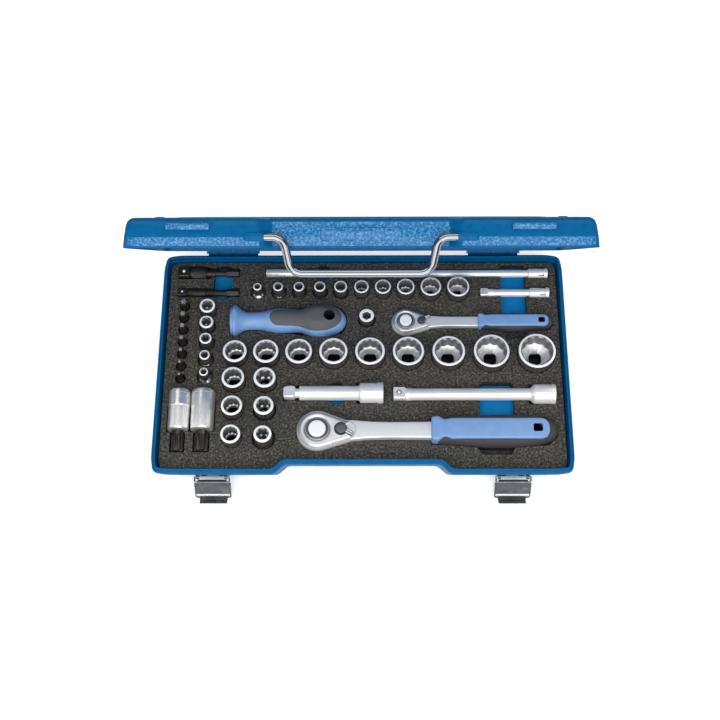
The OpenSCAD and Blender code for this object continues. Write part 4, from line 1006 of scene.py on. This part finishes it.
# ------------------------------------------------------------------ spinner handle
SPINNER = [(0, 10.4), (0.2, 11.1), (0.7, 11.5), (1.9, 11.5), (2.1, 12.3), (2.4, 13.0), (3.0, 13.3),
           (3.9, 13.3), (4.6, 12.8), (6.0, 11.5), (8.0, 9.7), (10.5, 8.2), (13, 7.45), (17, 7.25),
           (22, 7.4), (27, 8.0), (31, 9.1), (35, 9.9), (39, 10.05), (44, 9.9), (49, 9.55),
           (53, 9.3), (56.5, 9.7), (60, 11.2), (64, 12.7), (69, 13.25), (74, 13.15), (79, 12.3),
           (83, 10.9), (86.5, 8.9), (89.2, 6.3), (90.8, 3.7), (91.5, 1.4)]
SPINNER_FLAT = 12.2
INSERT = [(31.2, 0.6), (31.8, 2.6), (33.2, 4.9), (35.5, 6.3), (39, 6.8), (45, 6.8), (51, 6.8),
          (55, 7.2), (58.5, 8.5), (62, 10.1), (66, 11.0), (71, 11.1), (76, 10.6), (80.5, 9.2),
          (84.2, 6.9), (86.8, 4.1), (87.9, 1.4)]


def radius_at(x, profile):
    """The radius of a profile of (distance, radius) points at the distance x."""
    for (x0, r0), (x1, r1) in zip(profile, profile[1:]):
        if x0 <= x <= x1:
            return r0 + (r1 - r0) * (x - x0) / (x1 - x0)
    return profile[-1][1]


def densified(profile, step):
    """Catmull-Rom points along a profile, at most step apart."""
    made = []
    for i, (p1, p2) in enumerate(zip(profile, profile[1:])):
        p0 = profile[max(i - 1, 0)]
        p3 = profile[min(i + 2, len(profile) - 1)]
        count = max(1, math.ceil(math.dist(p1, p2) / step))
        for j in range(count):
            t = j / count
            made.append(tuple(0.5 * (2 * b + (c - a) * t + (2 * a - 5 * b + 4 * c - d) * t * t
                                     + (3 * b - a - 3 * c + d) * t ** 3)
                              for a, b, c, d in zip(p0, p1, p2, p3)))
    return made + [profile[-1]]


def make_spinner():
    lo, hi = box_mm("spinner_handle")
    mid = (lo + hi) / 2
    at, n, hole_at = Vector((lo.x, mid.y, mid.z)), 96, 78.3

    def ring(radius):
        return polar(lambda a: min(radius, SPINNER_FLAT / max(abs(math.sin(a)), 1e-6)), n)

    def hole():
        foot = at + Vector((hole_at, 0, -20))
        return Shape().turned(foot, AXIS_Z, rings([(0, 4.5), (40, 4.5)], 48))

    # the wall of the hole through the handle takes the painted hole shade
    def in_hole(place, normal):
        return abs(normal.z) < 0.3 and math.hypot(place.x - at.x - hole_at, place.y - at.y) < 4.7

    body = Shape().turned(at, AXIS_X, [(t, ring(r)) for t, r in densified(SPINNER, 1.0)])
    well = Shape().turned(at, AXIS_X, squares([(-1, 3.3), (12, 3.3)], 32, 0.95))
    recess = [insert_shape(at, s, 0.22, 0.25) for s in (1, -1)]
    body.cut(hole(), well, *recess).tint(1, in_hole).done(
        "spinner_body", "spinner", "grip_blue", [M["grip"], M["hollow"]], ["spinner_handle"],
        sharp=38)
    for s, name, nodes in ((1, "upper", ["spinner_insert"]), (-1, "lower", [])):
        insert_shape(at, s, 0.0, 0.12).cut(hole()).tint(1, in_hole).done(
            f"spinner_insert_{name}", "spinner", "grip_grey", [M["soft"], M["hollow"]], nodes,
            sharp=38)
    # the drive's inner bore takes the painted hole shade
    Shape().turned(at, AXIS_X, [
        (11.6, circle(3.0, 64)), *squares([(11.6, 3.2), (0.9, 3.2), (0.6, 2.9)], 64, 0.98),
        *rings([(0.6, 2.5), (1.0, 2.35), (9, 2.35)], 64)], [0] * 4 + [1] * 2).done(
        "spinner_square", "spinner", "chrome", [M["bright"], M["hollow"]], ["spinner_drive"])


def insert_shape(at, side, grow, proud):
    """The soft insert on the upper or lower face, following the handle's form."""
    across, thick = 20, 2.2
    lift = proud if grow else 0
    rows = []
    for x, half in densified(INSERT, 1.5):
        r = radius_at(x, SPINNER)
        upper, lower = [], []
        for i in range(across + 1):
            f = -1 + 2 * i / across
            y = (half + grow) * math.sin(f * math.pi / 2)
            z = min(math.sqrt(max(r * r - y * y, 1)), SPINNER_FLAT)
            z += proud * (1 - abs(f) ** 6) + lift
            upper.append(at + Vector((x, y, side * z)))
            lower.append(at + Vector((x, y, side * (z - thick - lift))))
        rows.append(upper + lower[::-1])
    return Shape().loft(rows)


# ------------------------------------------------------------------ ratchets
# radii, widths, thicknesses (_t) and distances from the drive's axis (_at, grip0, grip1)
RATCHETS = {
    "large": dict(head=15, button=6.7, ring=9.4, tail_at=23, tail=7.2, lever_at=18.2, shank=13,
                  grip0=87, grip1=183, grip_w=24.5, head_t=13, shank_t=9, grip_t=18.5, square=9.5,
                  hole=3.3, hole_at=167.6, lever_angle=-28),
    "small": dict(head=10.4, button=4.8, ring=6.6, tail_at=15.3, tail=5, lever_at=12.8, shank=8.2,
                  grip0=57, grip1=116.4, grip_w=14.6, head_t=9.6, shank_t=6.4, grip_t=12.5,
                  square=6.3, hole=2.4, hole_at=107, lever_angle=28),
}


def head_outline(head, tail, reach):
    """Two arcs and the two straight sides between them."""
    drop, n_head, n_tail, n_side = -0.6, 60, 32, 5
    distance = math.hypot(reach, drop)
    lean, open_angle = math.atan2(drop, reach), math.acos((head - tail) / distance)
    made = []
    for i in range(n_head + 1):
        a = lean + open_angle + (2 * math.pi - 2 * open_angle) * i / n_head
        made.append(Vector((head * math.cos(a), head * math.sin(a))))
    first = lean - open_angle
    start = Vector((reach + tail * math.cos(first), drop + tail * math.sin(first)))
    made += [made[-1].lerp(start, i / n_side) for i in range(1, n_side)]
    for i in range(n_tail + 1):
        a = first + 2 * open_angle * i / n_tail
        made.append(Vector((reach + tail * math.cos(a), drop + tail * math.sin(a))))
    made += [made[-1].lerp(made[0], i / n_side) for i in range(1, n_side)]
    return [tuple(p) for p in made]


def grip_ring(half_width, half_height):
    """A rounded box, between an ellipse and a rectangle."""
    n, power = 64, 2.9

    def point(a):
        c, s = math.cos(a), math.sin(a)
        return (half_width * math.copysign(abs(c) ** (2 / power), c),
                half_height * math.copysign(abs(s) ** (2 / power), s))
    return [point(2 * math.pi * i / n) for i in range(n)]


def make_ratchet(size, head, button, ring, tail_at, tail, lever_at, shank, grip0, grip1, grip_w,
                 head_t, shank_t, grip_t, square, hole, hole_at, lever_angle):
    mid = centre_mm(f"{size}_ratchet_button")
    at = Vector((mid.x, mid.y, centre_mm(f"{size}_ratchet_grip").z))
    place = Matrix.Translation(at)
    body, scale = f"{size}_ratchet", head / 15
    t = head_t / 2

    def outline(grow):
        return head_outline(head + grow, tail + grow, tail_at)

    levels = [(-t, -1.6), (-t + 0.25, -1.05), (-t + 1.1, -0.2), (-t + 1.8, 0.7), (t - 3.9, 0.8),
              (t - 3.4, 0.65), (t - 2.4, 0.15), (t - 1.5, -0.3 * scale), (t - 0.65, -1.1 * scale),
              (t - 0.15, -2.1 * scale), (t, -2.9 * scale)]
    loops = [[Vector((x, y, z)) for x, y in outline(grow)] for z, grow in levels]

    def bore(radius, z):
        angles = [math.atan2(p.y, p.x) for p in loops[0]]
        return [Vector((radius * math.cos(a), radius * math.sin(a), z)) for a in angles]

    loops += [bore(ring + 1.5 * scale, t), bore(ring + 1.1 * scale, t - 0.15),
              bore(ring + 0.15, t - 0.85), bore(ring + 0.1, t - 1.2), bore(ring + 0.1, -t + 0.6),
              bore(ring + 0.6, -t)]
    # painted shade: the head's top bevel and the upper edge of its bore take a darker grey than the
    # satin face
    shell = Shape().loft(loops, [0] * (len(levels) - 4) + [1] * 3 + [0] * 2 + [1] * 2 + [0] * 3,
                         close=True)
    pocket = Shape().turned((lever_at, 0, t - 2.0), AXIS_Z, rings(
        [(0, tail * 0.7), (1.7, tail * 0.7), (2.1, tail * 0.76), (3, tail * 0.76)], 48))
    fan = [(lever_at, -1.5 * scale), *arc(lever_at, 0, tail * 1.55, -40, 80, 12),
           (lever_at, 1.5 * scale)]
    slot = Shape().plate(lambda inset: fan, [(t - 1.0, 0), (t + 1, 0)])
    # painted shade: the walls and floor of the lever's pocket take the dark ring's grey
    shell.cut(pocket, slot).tint(2, lambda place, normal: 0 < place.z < t - 0.05 and math.hypot(
        place.x - lever_at, place.y) < tail * 0.78)

    half = shank / 2
    sections = [  # distance along the handle, half width, part of the full thickness
        (tail_at - 3, half + 1.5 * scale, 0.94), (tail_at + tail * 0.6, half + 1.5 * scale, 0.96),
        (tail_at + tail * 1.5, half + 0.8 * scale, 1), (tail_at + tail * 2.6, half + 0.15, 1),
        ((tail_at + grip0) / 2, half - 0.1, 1), (grip0 - tail * 1.6, half, 1),
        (grip0 + 2, half + 0.1, 1)]
    bar = Shape().loft([
        [Vector((x, u, v)) for u, v in rounded(
            rectangle(-wide, -shank_t / 2 * high, wide, shank_t / 2 * high), 1.3 * scale, 5)]
        for x, wide, high in sections])
    joined(shell, bar).moved(place).done(
        f"{size}_ratchet_forging", body, "satin_chrome", [M["satin"], M["rim_grey"], M["dark"]],
        [f"{size}_ratchet_body"], sharp=36)

    a, n = square / 2, 72
    mid_ring = (ring + button) / 2 + 0.15
    stations = [(-t - square - 0.6, prism(4, a - 0.6, n, 0.9)),
                *squares([(-t - square, a), (-t - 0.5, a)], n)]
    stations += rings([(-t - 0.4, ring - 0.5), (-t, ring - 0.05), (t - 0.8, ring - 0.05),
                       (t - 0.35, ring - 0.3), (t - 0.2, ring - 0.7), (t - 0.2, mid_ring + 0.35),
                       (t - 0.55, mid_ring), (t - 0.2, mid_ring - 0.35), (t - 0.2, button + 0.65),
                       (t - 0.6, button + 0.3), (t - 4, button + 0.3)], n)
    drive = Shape().turned((0, 0, 0), AXIS_Z, stations, [1] * 3 + [0] * 2 + [2] * 3 + [0] * 5)
    drive.ball((a - 0.2, 0, -t - square * 0.55), square * 0.15, 1)
    drive.moved(place).done(f"{size}_ratchet_ring", f"{size}_drive", "nickel",
                            [M["dark"], M["bright"], M["rim_grey"]], [f"{size}_ratchet_drive"])

    Shape().turned((0, 0, 0), AXIS_Z, rings([
        (0, button * 0.35), (t - 1.6, button * 0.35), (t - 1.6, button - 0.1),
        (t + 0.5, button - 0.05), (t + 0.85, button - 0.25), (t + 1.05, button - 0.8),
        (t + 1.0, button * 0.6), (t + 0.95, button * 0.25)], 64)).moved(place).done(
        f"{size}_ratchet_disc", f"{size}_button", "chrome", M["rim"], [f"{size}_ratchet_button"])

    knob, arm = tail * 0.56, tail * 1.4
    lever = Shape().turned((lever_at, 0, 0), AXIS_Z, rings([
        (t - 1.8, knob * 0.8), (t - 0.3, knob * 0.8), (t - 0.2, knob), (t + 1.3, knob),
        (t + 1.7, knob - 0.25), (t + 1.85, knob - 0.7), (t + 1.8, knob * 0.4)], 48))
    turned_by = (Matrix.Translation((lever_at, 0, 0))
                 @ Matrix.Rotation(math.radians(lever_angle), 4, "Z"))
    tab = Shape()
    blade = [(knob * 0.4, -0.17 * tail), (arm - 0.6, -0.25 * tail), (arm, -0.2 * tail),
             (arm, 0.2 * tail), (arm - 0.6, 0.25 * tail), (knob * 0.4, 0.17 * tail)]
    tab.plate(lambda inset: rounded(mitred(blade, inset), 0.4),
              [(t + 0.3, 0), (t + 1.3, 0), (t + 1.65, 0.2), (t + 1.8, 0.5)])
    for offset in (-0.11, 0.11):
        tab.sweep([(knob * 1.15, offset * tail, t + 1.75), (arm - 0.4, offset * tail, t + 1.75)],
                  0.05 * tail, n=8, index=1)
    joined(lever, tab.moved(turned_by)).moved(place).done(
        f"{size}_ratchet_switch", f"{size}_lever", "nickel", [M["dark"], M["rim"]],
        [f"{size}_ratchet_lever"])

    w, length, top = grip_w / 2, grip1 - grip0, grip_t / 2
    half_skin = top - 0.8
    outline_w = [(0.3, 0.6, 0.7), (0.32, 0.74, 0.86), (0.45, 0.84, 0.95), (0.7, 0.86, 1),
                 (1.1, 0.85, 1), (1.6, 0.9, 1), (2.4, 0.97, 1), (3.4, 1.02, 1), (5.0, 1.04, 1)]
    stations = [(x * w, grip_ring(w * f, half_skin * g)) for x, f, g in outline_w]
    for f, wide, high in ((0.75, 0.98, 1), (0.83, 0.91, 1), (0.9, 0.8, 0.97), (0.945, 0.68, 0.9),
                          (0.975, 0.54, 0.8), (0.992, 0.38, 0.62), (1.0, 0.2, 0.36)):
        stations.append((length * f, grip_ring(w * wide, half_skin * high)))
    skin = Shape().turned((grip0, 0, 0), AXIS_X, stations)
    core = [(0, -0.74 * w), (0.42 * w, -0.8 * w), (0.82 * w, -0.56 * w), (1.25 * w, -0.7 * w),
            (length - 0.5 * w, -0.7 * w), (length - 0.5 * w, 0.66 * w), (1.25 * w, 0.66 * w),
            (0.82 * w, 0.56 * w), (0.42 * w, 0.8 * w), (0, 0.74 * w)]
    radii = [r * scale for r in (1.6, 3.5, 4, 5, 8, 8, 5, 4, 3.5, 1.6)]
    steps = [(0, 0), (0.55, 0), (0.86, 0.12), (0.95, 0.4), (0.985, 0.9), (1.0, 1.7)]
    heights = [(-top * f, inset * scale) for f, inset in reversed(steps)]
    heights += [(top * f, inset * scale) for f, inset in steps[1:]]
    heights += [(top + 0.12 * scale, 3.2 * scale)]
    blue = Shape().plate(lambda inset: [(x + grip0, y) for x, y in rounded(
        mitred(core, inset), [r - inset * 0.45 for r in radii])], heights)
    eye = rounded(rectangle(hole_at - hole * 1.1, -hole, hole_at + hole * 1.1, hole), hole * 0.5)
    for shape, name, colour, part in ((skin, "grip_skin", "grip_grey", "skin"),
                                      (blue, "grip_core", "grip_blue", "grip")):
        through = Shape().plate(lambda inset: eye, [(-20, 0), (20, 0)])
        shape.cut(through).moved(place).done(f"{size}_{name}", body, colour, M[part],
                                             [f"{size}_ratchet_{part}"], sharp=42)


# ------------------------------------------------------------------ floor, light and camera
def make_stage():
    bpy.ops.mesh.primitive_plane_add(size=12, location=(0, 0, CAD_BOX[0].z))
    floor = bpy.context.object
    floor.name = "floor"
    paper = Finish("paper", (0.95, 0.95, 0.95), 0.0, 0.9, Specular_IOR_Level=0.1,
                   Emission_Color=(1, 1, 1, 1), Emission_Strength=0.35)
    paper.colour(paper.noise(40, 2), [(0.3, 0.94), (0.7, 0.96)])
    floor.data.materials.append(paper.material)
    world = bpy.data.worlds.new("studio")
    world.use_nodes = True
    world.node_tree.nodes["Background"].inputs["Color"].default_value = (1, 1, 1, 1)
    world.node_tree.nodes["Background"].inputs["Strength"].default_value = 0.17
    bpy.context.scene.world = world
    lamps = [  # name, place, aim, width, height, power
        ("overhead", (0.0, -0.6, 1.37), (0, 0.0, 0.03), 1.7, 0.8, 11),
        ("back", (0.0, 0.75, 1.45), (0, -0.03, 0.02), 1.8, 0.8, 9),
        ("front", (0.0, -1.2, 0.8), (0, 0, 0.03), 1.6, 0.6, 13),
        ("left", (-1.3, -0.2, 0.6), (0, 0, 0.03), 0.5, 1.2, 2.6),
        ("right", (1.3, -0.1, 0.7), (0, 0, 0.03), 0.5, 1.2, 2.3),
    ]
    for name, place, aim, width, height, power in lamps:
        data = bpy.data.lights.new(name, "AREA")
        data.shape, data.size, data.size_y, data.energy = "RECTANGLE", width, height, power
        lamp = bpy.data.objects.new(name, data)
        bpy.context.scene.collection.objects.link(lamp)
        lamp.location = place
        lamp.rotation_mode = "QUATERNION"
        lamp.rotation_quaternion = (Vector(aim) - Vector(place)).to_track_quat("-Z", "Y")
    bpy.context.scene.view_settings.view_transform = "Standard"
    bpy.context.scene.view_settings.look = "None"


def make_camera():
    """A long lens in front of the case, looking steeply down."""
    place = Vector((0.00756, -0.40003, 0.93727))
    heading, dip, roll = (math.radians(a) for a in (-1.381, 66.243, -1.326))
    ahead = Vector((math.sin(heading) * math.cos(dip), math.cos(heading) * math.cos(dip),
                    -math.sin(dip)))
    level = Vector((math.cos(heading), -math.sin(heading), 0))
    over = level.cross(ahead)
    right = level * math.cos(roll) + over * math.sin(roll)
    up = over * math.cos(roll) - level * math.sin(roll)
    data = bpy.data.cameras.new("camera")
    data.sensor_width, data.lens = 36, 63.72
    camera = bpy.data.objects.new("camera", data)
    bpy.context.scene.collection.objects.link(camera)
    camera.matrix_world = Matrix((
        (right.x, up.x, -ahead.x, place.x), (right.y, up.y, -ahead.y, place.y),
        (right.z, up.z, -ahead.z, place.z), (0, 0, 0, 1)))
    bpy.context.scene.camera = camera


make_stage()
make_camera()
make_tray()
make_lid()
make_handle()
make_latches()
make_sockets()
make_extension("large_long_extension", 9.5, 9.6, 16.2, 16, 4)
make_extension("small_long_extension", 6.3, 6.2, 9, 15.5, 0.8)
make_extension("small_short_extension", 6.3, 6.2, 9, 15.5, 0.8)
make_wobble_extension()
make_thin_tools()
make_bit_adaptor()
make_star_bits()
make_bit_sockets()
make_spinner()
for ratchet_size, parts in RATCHETS.items():
    make_ratchet(ratchet_size, **parts)
for cad_node, finish, softened in (
        ("foam_insert", "foam_dark", 0), ("foam_backing", "foam_blue", 0),
        ("tray_hinge_leaves", "enamel", 0.3), ("lid_hinge_leaves", "enamel", 0.3),
        ("hinge_pins", "zinc", 0.2)):
    keep(cad_node, M[finish], softened)
